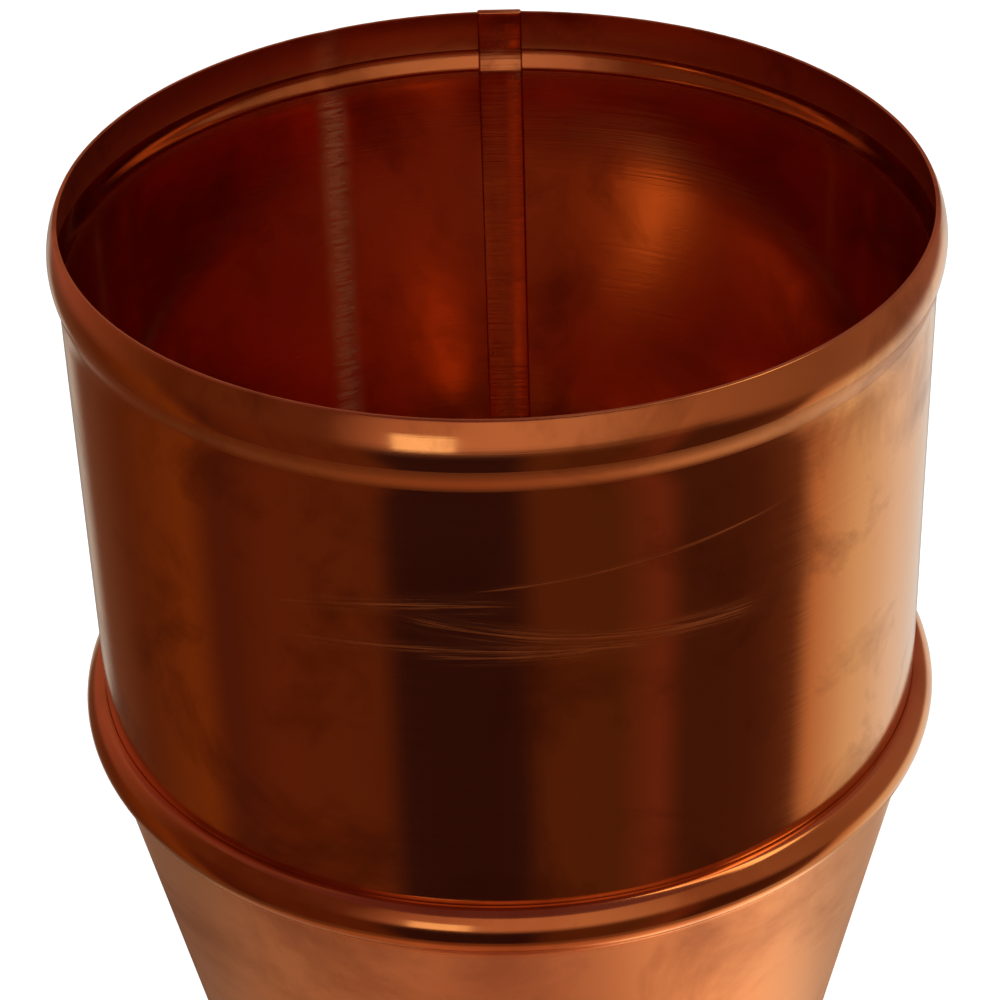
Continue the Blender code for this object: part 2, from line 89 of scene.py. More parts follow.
# Azimuth from the front towards the right in degrees, and the light that a card gives.
LOW_CARDS = [
    (-180, (0.50, 0.40, 0.32)), (-165, (0.10, 0.04, 0.02)), (-145, (0.50, 0.46, 0.40)),
    (-135, (0.16, 0.07, 0.04)), (-110, (0.11, 0.03, 0.01)), (-85, (0.18, 0.05, 0.01)),
    (-75, (0.08, 0.02, 0.01)), (-60, (0.12, 0.03, 0.01)), (-32, (0.11, 0.03, 0.01)),
    (-26, (0.03, 0.01, 0.01)), (2, (0.03, 0.01, 0.01)), (8, (0.10, 0.03, 0.01)),
    (26, (0.09, 0.03, 0.01)), (37, (0.16, 0.04, 0.02)), (44, (0.06, 0.02, 0.01)),
    (62, (0.07, 0.02, 0.01)), (76, (0.12, 0.04, 0.02)), (82, (0.56, 0.30, 0.16)),
    (98, (0.76, 0.64, 0.44)), (120, (0.86, 0.82, 0.72)), (150, (0.78, 0.76, 0.70)),
    (160, (0.14, 0.05, 0.03)),
]
HIGH_CARDS = [
    (-180, (0.28, 0.12, 0.08)), (-125, (0.32, 0.11, 0.08)), (-95, (0.18, 0.06, 0.03)),
    (-80, (0.11, 0.03, 0.01)), (-38, (0.13, 0.04, 0.02)), (-24, (0.42, 0.20, 0.13)),
    (0, (0.58, 0.30, 0.19)), (24, (0.48, 0.26, 0.16)), (42, (0.34, 0.16, 0.09)),
    (75, (0.24, 0.11, 0.06)), (100, (0.30, 0.15, 0.10)), (150, (0.26, 0.10, 0.08)),
]
FLOOR_CARDS = [
    (-180, (0.50, 0.36, 0.24)), (-140, (0.50, 0.34, 0.24)), (-108, (0.40, 0.20, 0.10)),
    (-60, (0.36, 0.14, 0.06)), (-38, (0.46, 0.18, 0.08)), (-15, (0.40, 0.14, 0.06)),
    (30, (0.48, 0.20, 0.10)), (60, (0.90, 0.48, 0.26)), (90, (1.50, 1.00, 0.60)),
    (120, (1.60, 1.20, 0.80)), (150, (1.00, 0.80, 0.60)),
]
CEILING_CARDS = [
    (-180, (0.16, 0.06, 0.06)), (-120, (0.20, 0.06, 0.05)), (-85, (0.20, 0.07, 0.05)),
    (-60, (0.14, 0.04, 0.04)),
    (30, (0.14, 0.05, 0.05)), (60, (0.20, 0.08, 0.06)), (68, (2.00, 1.40, 0.80)),
    (80, (2.00, 1.40, 0.80)), (92, (0.24, 0.08, 0.06)), (150, (0.24, 0.12, 0.10)),
]
FOOT_GLOW = (0.19, 0.28)    # radii between which the floor cards fade outwards
FOOT_FADE = 0.4             # how much of their light is left there
LAMP_AZIMUTHS = (-23, -10)
LAMP_HEIGHTS = (0.33, 0.44)
LAMP_LIGHT = (1.25, 1.00, 0.66)
CARD_SIDES = 96


def place(tree, kind, feeds=None, **settings):
    """Adds a shader node. Feeds are its inputs: a value, or the socket that it is linked to."""
    node = tree.nodes.new("ShaderNode" + kind)
    for key, value in settings.items():
        setattr(node, key, value)
    for socket, source in (feeds or {}).items():
        if isinstance(source, bpy.types.NodeSocket):
            tree.links.new(source, node.inputs[socket])
        else:
            node.inputs[socket].default_value = source
    return node


def new_material(name):
    """An empty node material and its output node."""
    material = bpy.data.materials.new(name)
    material.use_nodes = True
    material.node_tree.nodes.clear()
    return material, place(material.node_tree, "OutputMaterial")


def only_in_reflections(piece):
    piece.visible_camera = False
    piece.visible_diffuse = False
    piece.visible_shadow = False
    piece.visible_transmission = False


bpy.ops.object.select_all(action="DESELECT")
bpy.ops.mesh.primitive_plane_add(size=FLOOR_SIZE)
floor = bpy.context.object
floor.name = "floor"
material, output = new_material("pale_floor")
paint = place(material.node_tree, "BsdfDiffuse", {"Color": (0.86, 0.86, 0.86, 1)})
material.node_tree.links.new(paint.outputs[0], output.inputs["Surface"])
floor.data.materials.append(material)


def card_light(name, *rows):
    """A glowing material, with its tree, its place in space, each row of cards by azimuth, and the
    socket that takes the light to be shown."""
    material, output = new_material(name)
    tree = material.node_tree
    spot = place(tree, "SeparateXYZ", {0: place(tree, "TexCoord").outputs["Object"]})
    front = place(tree, "Math", {0: spot.outputs["Y"], 1: -1.0}, operation="MULTIPLY")
    azimuth = place(tree, "Math", {0: spot.outputs["X"], 1: front.outputs[0]}, operation="ARCTAN2")
    turn = place(tree, "MapRange", {"Value": azimuth.outputs[0], "From Min": -math.pi, "From Max": math.pi})
    lights = []
    for cards in rows:
        ramp = place(tree, "ValToRGB", {"Fac": turn.outputs[0]})
        for degrees, light in cards:
            ramp.color_ramp.elements.new((degrees + 180) / 360).color = (*light, 1)
        ramp.color_ramp.elements.remove(ramp.color_ramp.elements[0])
        ramp.color_ramp.elements.remove(ramp.color_ramp.elements[-1])
        lights.append(ramp.outputs["Color"])
    glow = place(tree, "Emission", {"Strength": 1.0})
    tree.links.new(glow.outputs[0], output.inputs["Surface"])
    return material, tree, spot, lights, glow.inputs["Color"]


bpy.ops.mesh.primitive_cylinder_add(
    vertices=CARD_SIDES, radius=RING_RADIUS, depth=RING_TOP - RING_FOOT, end_fill_type="NOTHING",
    location=(0, 0, (RING_TOP + RING_FOOT) / 2),
)
bpy.ops.object.transform_apply(location=True)
ring = bpy.context.object
ring.name = "card_ring"
only_in_reflections(ring)
material, tree, spot, (low_row, high_row), shown = card_light("standing_cards", LOW_CARDS, HIGH_CARDS)
dropped = place(tree, "MapRange", {
    "Value": spot.outputs["X"], "From Min": 0.7 * RING_RADIUS, "From Max": RING_RADIUS, "To Max": RIGHT_DROP,
})
raised = place(tree, "Math", {0: spot.outputs["Z"], 1: dropped.outputs[0]}, operation="ADD")
share = place(tree, "MapRange", {
    "Value": raised.outputs[0], "From Min": SKIRTING[0], "From Max": SKIRTING[1],
}, interpolation_type="SMOOTHSTEP")
rows = place(tree, "Mix", {0: share.outputs[0], 6: low_row, 7: high_row}, data_type="RGBA")
tree.links.new(rows.outputs[2], shown)
ring.data.materials.append(material)

for name, height, cards, outer in (
    ("lying_cards", RING_FOOT, FLOOR_CARDS, FOOT_FADE), ("ceiling_cards", RING_TOP, CEILING_CARDS, 1.0),
):
    bpy.ops.mesh.primitive_circle_add(
        vertices=CARD_SIDES, radius=RING_RADIUS, fill_type="NGON", location=(0, 0, height),
    )
    disc = bpy.context.object
    disc.name = name
    only_in_reflections(disc)
    material, tree, spot, (row,), shown = card_light(name, cards)
    flat = place(tree, "VectorMath", {
        0: place(tree, "TexCoord").outputs["Object"], 1: (1.0, 1.0, 0.0),
    }, operation="MULTIPLY")
    out = place(tree, "VectorMath", {0: flat.outputs[0]}, operation="LENGTH")
    faded = place(tree, "MapRange", {
        "Value": out.outputs["Value"], "From Min": FOOT_GLOW[0], "From Max": FOOT_GLOW[1],
        "To Min": 1.0, "To Max": outer,
    }, interpolation_type="SMOOTHSTEP")
    dimmed = place(tree, "Mix", {0: faded.outputs[0], 6: (0, 0, 0, 1), 7: row}, data_type="RGBA")
    tree.links.new(dimmed.outputs[2], shown)
    disc.data.materials.append(material)

# A bare lamp in front, that only the beads catch.
lamp_middle = math.radians(sum(LAMP_AZIMUTHS) / 2)
lamp_turn = math.radians(LAMP_AZIMUTHS[1] - LAMP_AZIMUTHS[0])
lamp_distance = 0.98 * RING_RADIUS
bpy.ops.mesh.primitive_plane_add(
    size=1,
    location=(
        lamp_distance * math.sin(lamp_middle), -lamp_distance * math.cos(lamp_middle), sum(LAMP_HEIGHTS) / 2,
    ),
    rotation=(math.pi / 2, 0, lamp_middle),
)
lamp = bpy.context.object
lamp.name = "lamp"
lamp.scale = (2 * RING_RADIUS * math.sin(lamp_turn / 2), LAMP_HEIGHTS[1] - LAMP_HEIGHTS[0], 1)
only_in_reflections(lamp)
material, output = new_material("lamp_light")
glow = place(material.node_tree, "Emission", {"Color": (*LAMP_LIGHT, 1), "Strength": 1.0})
material.node_tree.links.new(glow.outputs[0], output.inputs["Surface"])
lamp.data.materials.append(material)

for name, where, size, power in (
    ("key_light", (-0.8, -1.2, 2.4), 2.2, 42), ("fill_light", (1.4, 0.9, 2.2), 2.4, 30),
):
    light_data = bpy.data.lights.new(name, "AREA")
    light_data.size = size
    light_data.energy = power
    light = bpy.data.objects.new(name, light_data)
    light.location = where
    light.rotation_euler = Vector(where).to_track_quat("Z", "Y").to_euler()
    light.visible_glossy = False
    bpy.context.scene.collection.objects.link(light)

world = bpy.data.worlds.new("studio")
world.use_nodes = True
bpy.context.scene.world = world
tree = world.node_tree
tree.nodes.clear()
rays = place(tree, "LightPath")
pale = place(tree, "Background", {"Color": (0.93, 0.93, 0.93, 1), "Strength": 0.9})
dusk = place(tree, "Background", {"Color": (0.10, 0.028, 0.012, 1), "Strength": 1.0})
mirrored = place(tree, "MixShader", {
    0: rays.outputs["Is Glossy Ray"], 1: pale.outputs[0], 2: dusk.outputs[0],
})
output = place(tree, "OutputWorld", {"Surface": mirrored.outputs[0]})


# ---------------------------------------------------------------- foot ring
# A flat brass ring, turned from plate, that the splay is soldered to. The gauge stands on it.
TIP = 0.004 * MM    # a ring this small closes to one point when its doubles are merged
MERGE = 0.01 * MM
ROUND = 256


def rounded(piece, width, segments=2):
    """Rounds the sharp edges of the active piece."""
    rounding = piece.modifiers.new("rounding", "BEVEL")
    rounding.width = width
    rounding.segments = segments
    rounding.limit_method = "ANGLE"
    rounding.angle_limit = math.radians(50)
    bpy.ops.object.modifier_apply(modifier="rounding")


def turned(name, outline, sides=ROUND, edge=0.0):
    """Pulls a ring of vertices through an outline of (radius, height) points and closes it. Given an
    edge width, it also rounds its sharp edges."""
    bpy.ops.object.select_all(action="DESELECT")
    radius, height = outline[0]
    bpy.ops.mesh.primitive_circle_add(vertices=sides, radius=radius, location=(0, 0, height))
    piece = bpy.context.object
    piece.name = name
    bpy.ops.object.mode_set(mode="EDIT")
    for next_radius, next_height in outline[1:]:
        bpy.ops.mesh.extrude_region_move(TRANSFORM_OT_translate={"value": (0, 0, next_height - height)})
        size = next_radius / radius
        bpy.ops.transform.resize(value=(size, size, 1), center_override=(0, 0, next_height))
        radius, height = next_radius, next_height
    bpy.ops.mesh.select_all(action="SELECT")
    bpy.ops.mesh.remove_doubles(threshold=MERGE)
    bpy.ops.mesh.normals_make_consistent(inside=False)
    bpy.ops.object.mode_set(mode="OBJECT")
    bpy.ops.object.transform_apply(location=True, rotation=False, scale=False)
    if edge:
        rounded(piece, edge)
    bpy.ops.object.shade_smooth_by_angle(angle=math.radians(40))
    return piece


def ring_of(*corners):
    """An outline that ends where it began."""
    return [*corners, corners[0]]


def shader_group(name, inputs, outputs):
    """A node group with number sockets, its input node and its output node."""
    group = bpy.data.node_groups.new(name, "ShaderNodeTree")
    for socket, value in inputs.items():
        number = group.interface.new_socket(socket, in_out="INPUT", socket_type="NodeSocketFloat")
        number.default_value = value
    for socket in outputs:
        group.interface.new_socket(socket, in_out="OUTPUT", socket_type="NodeSocketFloat")
    return group, group.nodes.new("NodeGroupInput"), group.nodes.new("NodeGroupOutput")


# Handling marks that every metal piece has: soft blotches where it was held, level lines from
# rolling and turning, and a slow unevenness of the sheet. Size is in marks per metre.
wear, wear_in, wear_out = shader_group(
    "handling_marks", {"Blotch Size": 40.0, "Line Size": 1400.0, "Seed": 0.0},
    ("Blotch", "Lines", "Swell"),
)
spot = place(wear, "TexCoord").outputs["Object"]
shift = place(wear, "CombineXYZ", {"X": wear_in.outputs["Seed"], "Z": wear_in.outputs["Seed"]})
moved = place(wear, "VectorMath", {0: spot, 1: shift.outputs[0]}, operation="ADD")
blotch = place(wear, "TexNoise", {
    "Vector": moved.outputs[0], "Scale": wear_in.outputs["Blotch Size"], "Detail": 7.0,
    "Roughness": 0.62, "Distortion": 0.5,
})
wear.links.new(
    place(wear, "MapRange", {"Value": blotch.outputs["Fac"], "From Min": 0.50, "From Max": 0.72}).outputs[0],
    wear_out.inputs["Blotch"],
)
flat = place(wear, "Mapping", {"Vector": moved.outputs[0], "Scale": (0.012, 0.012, 1.0)})
lines = place(wear, "TexNoise", {
    "Vector": flat.outputs[0], "Scale": wear_in.outputs["Line Size"], "Detail": 3.0, "Roughness": 0.7,
})
wear.links.new(
    place(wear, "MapRange", {"Value": lines.outputs["Fac"], "From Min": 0.35, "From Max": 0.75}).outputs[0],
    wear_out.inputs["Lines"],
)
swell = place(wear, "TexNoise", {"Vector": moved.outputs[0], "Scale": 38.0, "Detail": 2.0})
wear.links.new(swell.outputs["Fac"], wear_out.inputs["Swell"])


def metal(name, bright, soiled, polish, haze, blotch_size=40.0, line_size=1400.0, line_depth=0.004 * MM,
          swell=0.03 * MM, seed=0.0):
    """A handled metal. Polish and haze are the roughness of its clean and its soiled places."""
    material, output = new_material(name)
    tree = material.node_tree
    marks = place(tree, "Group", node_tree=wear)
    marks.inputs["Blotch Size"].default_value = blotch_size
    marks.inputs["Line Size"].default_value = line_size
    marks.inputs["Seed"].default_value = seed
    tint = place(tree, "Mix", {
        "Factor": marks.outputs["Blotch"], 6: (*bright, 1), 7: (*soiled, 1),
    }, data_type="RGBA")
    matt = place(tree, "MapRange", {"Value": marks.outputs["Blotch"], "To Min": polish, "To Max": haze})
    lined = place(tree, "MapRange", {"Value": marks.outputs["Lines"], "To Max": 0.05})
    rough = place(tree, "Math", {0: matt.outputs[0], 1: lined.outputs[0]}, operation="ADD")
    uneven = place(tree, "Bump", {"Height": marks.outputs["Swell"], "Distance": swell, "Strength": 1.0})
    grained = place(tree, "Bump", {
        "Height": marks.outputs["Lines"], "Distance": line_depth, "Strength": 1.0,
        "Normal": uneven.outputs[0],
    })
    shader = place(tree, "BsdfPrincipled", {
        "Base Color": tint.outputs[2], "Metallic": 1.0, "Roughness": rough.outputs[0],
        "Normal": grained.outputs[0],
    })
    tree.links.new(shader.outputs[0], output.inputs["Surface"])
    return material


def fit(piece, body, slot, material, *nodes):
    """Gives a finished piece its material and its place under the CAD's body, and hides the CAD nodes that it
    stands for. The slot is not used.
    """
    piece.data.materials.clear()
    piece.data.materials.append(material)
    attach(piece, body)
    if nodes:
        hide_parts(*nodes)


EDGE = 0.12 * MM
COPPER_BRIGHT = (0.80, 0.37, 0.165)
COPPER_SOILED = (0.56, 0.235, 0.10)
BRASS_BRIGHT = (0.78, 0.53, 0.20)
BRASS_SOILED = (0.55, 0.35, 0.13)
brass = metal("turned_brass", BRASS_BRIGHT, BRASS_SOILED, 0.20, 0.36, blotch_size=60.0, seed=3.0)

low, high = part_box("foot_ring")
FOOT_WIDTH = 6 * MM
FOOT_CHAMFER = 0.4 * MM
foot_ring = turned("foot_ring_plate", ring_of(
    (high.x - FOOT_WIDTH, low.z), (high.x - FOOT_CHAMFER, low.z), (high.x, low.z + FOOT_CHAMFER),
    (high.x, high.z), (high.x - FOOT_WIDTH, high.z),
), edge=EDGE)
fit(foot_ring, "case", "brass_fitting", brass, "foot_ring")


# ---------------------------------------------------------------- splayed foot
# A cone of sheet copper that steadies the case. Its upper lip is lapped round the case and
# soldered, and its lower edge is soldered to the ring.
SHEET = 0.6 * MM
LIP = 8 * MM
FILLET = 0.6 * MM


def sheet_of(line, thickness=SHEET):
    """A closed outline from an outer line, top to bottom, and the same line moved in by the sheet."""
    return ring_of(*line, *((radius - thickness, height) for radius, height in reversed(line)))


def softened(line, reach=FILLET):
    """The line with each inner corner cut short on both sides, so that it shades as a formed bend."""
    made = [line[0]]
    for before, here, after in zip(line, line[1:], line[2:]):
        for other in (before, after):
            share = min(reach / math.dist(here, other), 0.45)
            made.append(tuple(h + (o - h) * share for h, o in zip(here, other)))
    return [*made, line[-1]]


def arc(start, end, bulge, count):
    """Points between start and end on an arc that stands out from their line by bulge."""
    (r0, z0), (r1, z1) = start, end
    chord = math.dist(start, end)
    radius = (chord ** 2 / 4 + bulge ** 2) / (2 * bulge)
    half = math.asin(chord / 2 / radius)
    points = []
    for i in range(1, count):
        angle = half * (2 * i / count - 1)
        along = 0.5 + radius * math.sin(angle) / chord
        out = radius * math.cos(angle) - radius + bulge
        points.append((r0 + (r1 - r0) * along + out, z0 + (z1 - z0) * along))
    return points


satin_copper = metal("satin_copper", (0.80, 0.375, 0.17), (0.50, 0.20, 0.085), 0.27, 0.40, blotch_size=26.0,
                     line_size=900.0, swell=0.05 * MM, seed=1.0)
low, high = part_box("splayed_foot")
LAP_RADIUS = 47.9 * MM
shoulder = high.z - LIP
splay = turned("foot_splay", sheet_of(softened([
    (LAP_RADIUS, high.z), (LAP_RADIUS, shoulder), (high.x, low.z),
])), edge=EDGE)
fit(splay, "case", "copper_neck", satin_copper, "splayed_foot")


# ---------------------------------------------------------------- case
# A slim tube of sheet copper, open at the top. A bead swaged near its top carries the collector's
# collar. Its floor is a flanged disc soldered in a little above the foot.
CASE_BEAD_DEPTH = 2.0 * MM
CASE_BEAD_HEIGHT = 5.6 * MM
FIT_GAP = 0.3 * MM
case_copper = metal("case_copper", COPPER_BRIGHT, COPPER_SOILED, 0.16, 0.30, blotch_size=34.0, seed=2.0)
low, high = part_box("case_wall")
case_radius = high.x - CASE_BEAD_DEPTH
bead_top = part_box("slip_collar")[0].z - FIT_GAP
bead_foot = bead_top - CASE_BEAD_HEIGHT
line = [
    (case_radius, high.z), (case_radius, bead_top + FILLET), (case_radius + 0.1 * MM, bead_top),
    *arc((case_radius, bead_top), (case_radius, bead_foot), CASE_BEAD_DEPTH, 10),
    (case_radius + 0.1 * MM, bead_foot), (case_radius, bead_foot - FILLET), (case_radius, low.z),
]
case_tube = turned("case_tube", sheet_of(line), edge=EDGE)
fit(case_tube, "case", "copper_case", case_copper, "case_wall")


def flanged_disc(name, node, thickness, flange, turned_up):
    """A disc of sheet with its edge turned up or down, in the place of the CAD's."""
    low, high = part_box(node)
    face, edge = (low.z, high.z) if turned_up else (high.z, low.z)
    inner = face + math.copysign(thickness, edge - face)
    return turned(name, ring_of(
        (TIP, face), (high.x - FILLET, face), (high.x, face + (edge - face) * 0.1), (high.x, edge),
        (high.x - thickness, edge), (high.x - thickness, inner + (edge - inner) * 0.1),
        (high.x - thickness - FILLET, inner), (TIP, inner),
    ), edge=EDGE)


case_disc = flanged_disc("case_floor_disc", "case_floor", SHEET, 6 * MM, False)
fit(case_disc, "case", "copper_case", case_copper, "case_floor")


# ---------------------------------------------------------------- inner can
# The overflow can, of thinner and duller copper. It lifts out of the case by its bail, with the
# measuring tube standing in a brass cup on its floor.
CAN_SHEET = 0.5 * MM
can_copper = metal("can_copper", (0.66, 0.30, 0.14), (0.42, 0.18, 0.085), 0.26, 0.44, blotch_size=30.0,
                   seed=4.0)
low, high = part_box("inner_can_wall")
CAN_ROLL = 0.8 * MM     # the rounded lip of the can
can_tube = turned("can_tube", sheet_of([
    (high.x, high.z), (high.x, high.z - CAN_ROLL), (high.x, low.z),
], CAN_SHEET), edge=EDGE)
fit(can_tube, "inner_can", "copper_inner", can_copper, "inner_can_wall")
can_disc = flanged_disc("can_floor_disc", "inner_can_floor", CAN_SHEET, 6 * MM, True)
fit(can_disc, "inner_can", "copper_inner", can_copper, "inner_can_floor")

BRASS_SHEET = 0.8 * MM
low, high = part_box("tube_seat")
cup = turned("seat_cup", ring_of(
    (TIP, low.z), (high.x, low.z), (high.x, high.z), (high.x - BRASS_SHEET, high.z),
    (high.x - BRASS_SHEET, low.z + BRASS_SHEET), (TIP, low.z + BRASS_SHEET),
), sides=96, edge=EDGE)
fit(cup, "inner_can", "brass_fitting", brass, "tube_seat")

rubber, output = new_material("pad_rubber")
tree = rubber.node_tree
grit = place(tree, "TexNoise", {
    "Vector": place(tree, "TexCoord").outputs["Object"], "Scale": 1500.0, "Detail": 4.0,
})
tone = place(tree, "Mix", {
    "Factor": grit.outputs["Fac"], 6: (0.018, 0.018, 0.018, 1), 7: (0.045, 0.043, 0.040, 1),
}, data_type="RGBA")
pitted = place(tree, "Bump", {"Height": grit.outputs["Fac"], "Distance": 0.05 * MM})
shader = place(tree, "BsdfPrincipled", {
    "Base Color": tone.outputs[2], "Roughness": 0.82, "Normal": pitted.outputs[0],
})
tree.links.new(shader.outputs[0], output.inputs["Surface"])
low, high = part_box("seat_pad")
pad = turned("rubber_pad", ring_of((TIP, low.z), (high.x, low.z), (high.x, high.z), (TIP, high.z)),
             sides=96, edge=0.5 * MM)
fit(pad, "inner_can", "pad_rubber", rubber, "seat_pad")


# ---------------------------------------------------------------- tube guide
# A brass ring that keeps the top of the tube central, on three strap arms. Each arm's tab is
# turned down and soldered to the wall of the can.
GUIDE_HEIGHT = 6 * MM
ARM_WIDTH = 6 * MM
TAB = 10 * MM
GUIDE_ARMS = 3
low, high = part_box("tube_guide")
GUIDE_INSIDE = 23.68 * MM
guide_foot = high.z - GUIDE_HEIGHT
guide_ring = turned("guide_ring", sheet_of([
    (GUIDE_INSIDE + BRASS_SHEET, high.z), (GUIDE_INSIDE + BRASS_SHEET, guide_foot),
], BRASS_SHEET), sides=128, edge=EDGE)
fit(guide_ring, "inner_can", "brass_fitting", brass, "tube_guide")

arm_low = guide_foot + BRASS_SHEET
reach = high.y      # the arm at a quarter turn points straight back, to the can's wall
for number in range(GUIDE_ARMS):
    bpy.ops.object.select_all(action="DESELECT")
    start = GUIDE_INSIDE + BRASS_SHEET / 2
    bpy.ops.mesh.primitive_cube_add(size=1, location=(0, 0, 0))
    arm = bpy.context.object
    arm.name = f"guide_arm_{number + 1}"
    bpy.ops.object.mode_set(mode="EDIT")
    bpy.ops.transform.resize(value=(reach - start, ARM_WIDTH, BRASS_SHEET), center_override=(0, 0, 0))
    bpy.ops.transform.translate(value=((reach + start) / 2, 0, arm_low + BRASS_SHEET / 2))
    bpy.ops.mesh.bisect(plane_co=(reach - BRASS_SHEET, 0, 0), plane_no=(1, 0, 0))
    bpy.ops.object.mode_set(mode="OBJECT")
    for face in arm.data.polygons:
        face.select = face.center.x > reach - BRASS_SHEET and face.normal.z < -0.5
    for part in (*arm.data.edges, *arm.data.vertices):
        part.select = False
    bpy.ops.object.mode_set(mode="EDIT")
    bpy.ops.mesh.select_mode(type="FACE")
    bpy.ops.mesh.extrude_region_move(TRANSFORM_OT_translate={"value": (0, 0, BRASS_SHEET - TAB)})
    bpy.ops.mesh.select_all(action="SELECT")
    bpy.ops.mesh.select_mode(type="VERT")
    bpy.ops.mesh.normals_make_consistent(inside=False)
    bpy.ops.object.mode_set(mode="OBJECT")
    rounded(arm, 0.25 * MM)
    arm.data.transform(Matrix.Rotation(math.pi / 2 + 2 * math.pi * number / GUIDE_ARMS, 4, "Z"))
    bpy.ops.object.shade_smooth_by_angle(angle=math.radians(40))
    fit(arm, "inner_can", "brass_fitting", brass)


# ---------------------------------------------------------------- bail and its ears
# Two brass plates riveted to the can near its rim. Each has a blind eye, and the sprung ends of a
# half round wire handle turn in the eyes. The bail folds flat inside the mouth of the can.
EAR_THICKNESS = 0.8 * MM
EYE_RADIUS = 3.1 * MM
WIRE_RADIUS = 1.25 * MM
CORNER = 2.4 * MM
rivet_copper = metal("rivet_copper", COPPER_BRIGHT, COPPER_SOILED, 0.22, 0.36, seed=5.0)
swing = next(joint for joint in frame["joints"] if joint["name"] == "bail_swing")
pivot = Vector(swing["pos_m"])
for side, where in ((-1, "left"), (1, "right")):
    low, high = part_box(f"bail_ear_{where}")
    outer = max(abs(low.x), abs(high.x))
    eye_end = min(abs(low.x), abs(high.x))
    bpy.ops.object.select_all(action="DESELECT")
    bpy.ops.mesh.primitive_cube_add(size=1, location=(0, 0, 0))
    ear = bpy.context.object
    ear.name = f"ear_plate_{where}"
    bpy.ops.object.mode_set(mode="EDIT")
    bpy.ops.transform.resize(value=(EAR_THICKNESS, high.y - low.y, high.z - low.z), center_override=(0, 0, 0))
    bpy.ops.transform.translate(
        value=(side * (outer - EAR_THICKNESS / 2), 0, (high.z + low.z) / 2),
    )
    bpy.ops.mesh.select_mode(type="EDGE")
    bpy.ops.mesh.select_all(action="DESELECT")
    bpy.ops.object.mode_set(mode="OBJECT")
    for edge in ear.data.edges:
        ends = [ear.data.vertices[index].co for index in edge.vertices]
        edge.select = abs(ends[0].x - ends[1].x) > EAR_THICKNESS / 2
    bpy.ops.object.mode_set(mode="EDIT")
    bpy.ops.mesh.bevel(offset=CORNER, segments=6, affect="EDGES")
    bpy.ops.mesh.select_mode(type="VERT")
    bpy.ops.object.mode_set(mode="OBJECT")
    rounded(ear, 0.15 * MM)
    bpy.ops.object.shade_smooth_by_angle(angle=math.radians(40))
    fit(ear, "inner_can", "brass_fitting", brass, f"bail_ear_{where}")

    face = outer - EAR_THICKNESS
    bore = WIRE_RADIUS + FIT_GAP
    eye = turned(f"ear_eye_{where}", ring_of(
        (EYE_RADIUS, 0), (EYE_RADIUS, face - eye_end), (bore, face - eye_end), (bore, 0),
    ), sides=48, edge=0.2 * MM)
    eye.data.transform(
        Matrix.Translation((side * face, 0, pivot.z)) @ Matrix.Rotation(-side * math.pi / 2, 4, "Y")
    )
    fit(eye, "inner_can", "brass_fitting", brass)

    for rank in ("upper", "lower"):
        node = f"ear_rivet_{where}_{rank}"
        low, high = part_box(node)
        radius, rise = (high.z - low.z) / 2, high.x - low.x
        head = turned(f"rivet_head_{where}_{rank}", [
            (TIP, 0), (radius, 0),
            *((radius * math.cos(a), rise * math.sin(a)) for a in (0.35, 0.75, 1.15)), (TIP, rise),
        ], sides=24)
        root = high.x if side > 0 else low.x
        head.data.transform(
            Matrix.Translation((root, 0, (high.z + low.z) / 2)) @ Matrix.Rotation(-side * math.pi / 2, 4, "Y")
        )
        fit(head, "inner_can", "copper_inner", rivet_copper, node)

BAIL_BEND = 3 * MM
low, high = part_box("bail_handle")
bail_radius = -low.y - BAIL_BEND - WIRE_RADIUS


def drawn_wire(name, radius, resolution, routes, angle=40):
    """Wire of this radius along each route of (x, y, z) points, made a mesh."""
    wire = bpy.data.curves.new(name, "CURVE")
    wire.dimensions = "3D"
    wire.bevel_depth = radius
    wire.bevel_resolution = resolution
    wire.use_fill_caps = True
    for route in routes:
        spline = wire.splines.new("POLY")
        spline.points.add(len(route) - 1)
        for point, spot in zip(spline.points, route):
            point.co = (*spot, 1)
    piece = bpy.data.objects.new(name, wire)
    bpy.context.scene.collection.objects.link(piece)
    bpy.ops.object.select_all(action="DESELECT")
    piece.select_set(True)
    bpy.context.view_layer.objects.active = piece
    bpy.ops.object.convert(target="MESH")
    bpy.ops.object.shade_smooth_by_angle(angle=math.radians(angle))
    return piece


half = [(high.x, 0), (high.x - 1.5 * MM, 0)]
for i in range(9):
    angle = math.pi / 2 * i / 8
    half.append((bail_radius + BAIL_BEND * (1 - math.sin(angle)), BAIL_BEND * (math.cos(angle) - 1)))
for i in range(1, 33):
    angle = math.pi / 2 * i / 32
    half.append((bail_radius * math.cos(angle), -BAIL_BEND - bail_radius * math.sin(angle)))
route = half + [(-x, y) for x, y in reversed(half[:-1])]
bail = drawn_wire("bail_wire", WIRE_RADIUS, 6, [[(x, y, pivot.z) for x, y in route]])
fit(bail, "bail", "brass_fitting", brass, "bail_handle")


# ---------------------------------------------------------------- measuring tube
# A glass cylinder with a tenth of the collecting area, so ten millimetres of its length hold one of
# rain. It stands in a brass shoe, with a brass band at its lip, and its scale is fired enamel.
TUBE_WALL = 2 * MM
TUBE_FLOOR = 4 * MM
BORE_ROUND = 1.6 * MM
glass, output = new_material("tube_glass")
tree = glass.node_tree
shader = place(tree, "BsdfPrincipled", {
    "Base Color": (0.93, 0.97, 0.955, 1), "Metallic": 0.0, "Roughness": 0.02, "IOR": 1.47,
    "Transmission Weight": 1.0,
})
ripple = place(tree, "TexNoise", {
    "Vector": place(tree, "TexCoord").outputs["Object"], "Scale": 70.0, "Detail": 1.0,
})
drawn = place(tree, "Bump", {"Height": ripple.outputs["Fac"], "Distance": 0.02 * MM})
tree.links.new(drawn.outputs[0], shader.inputs["Normal"])
tree.links.new(shader.outputs[0], output.inputs["Surface"])
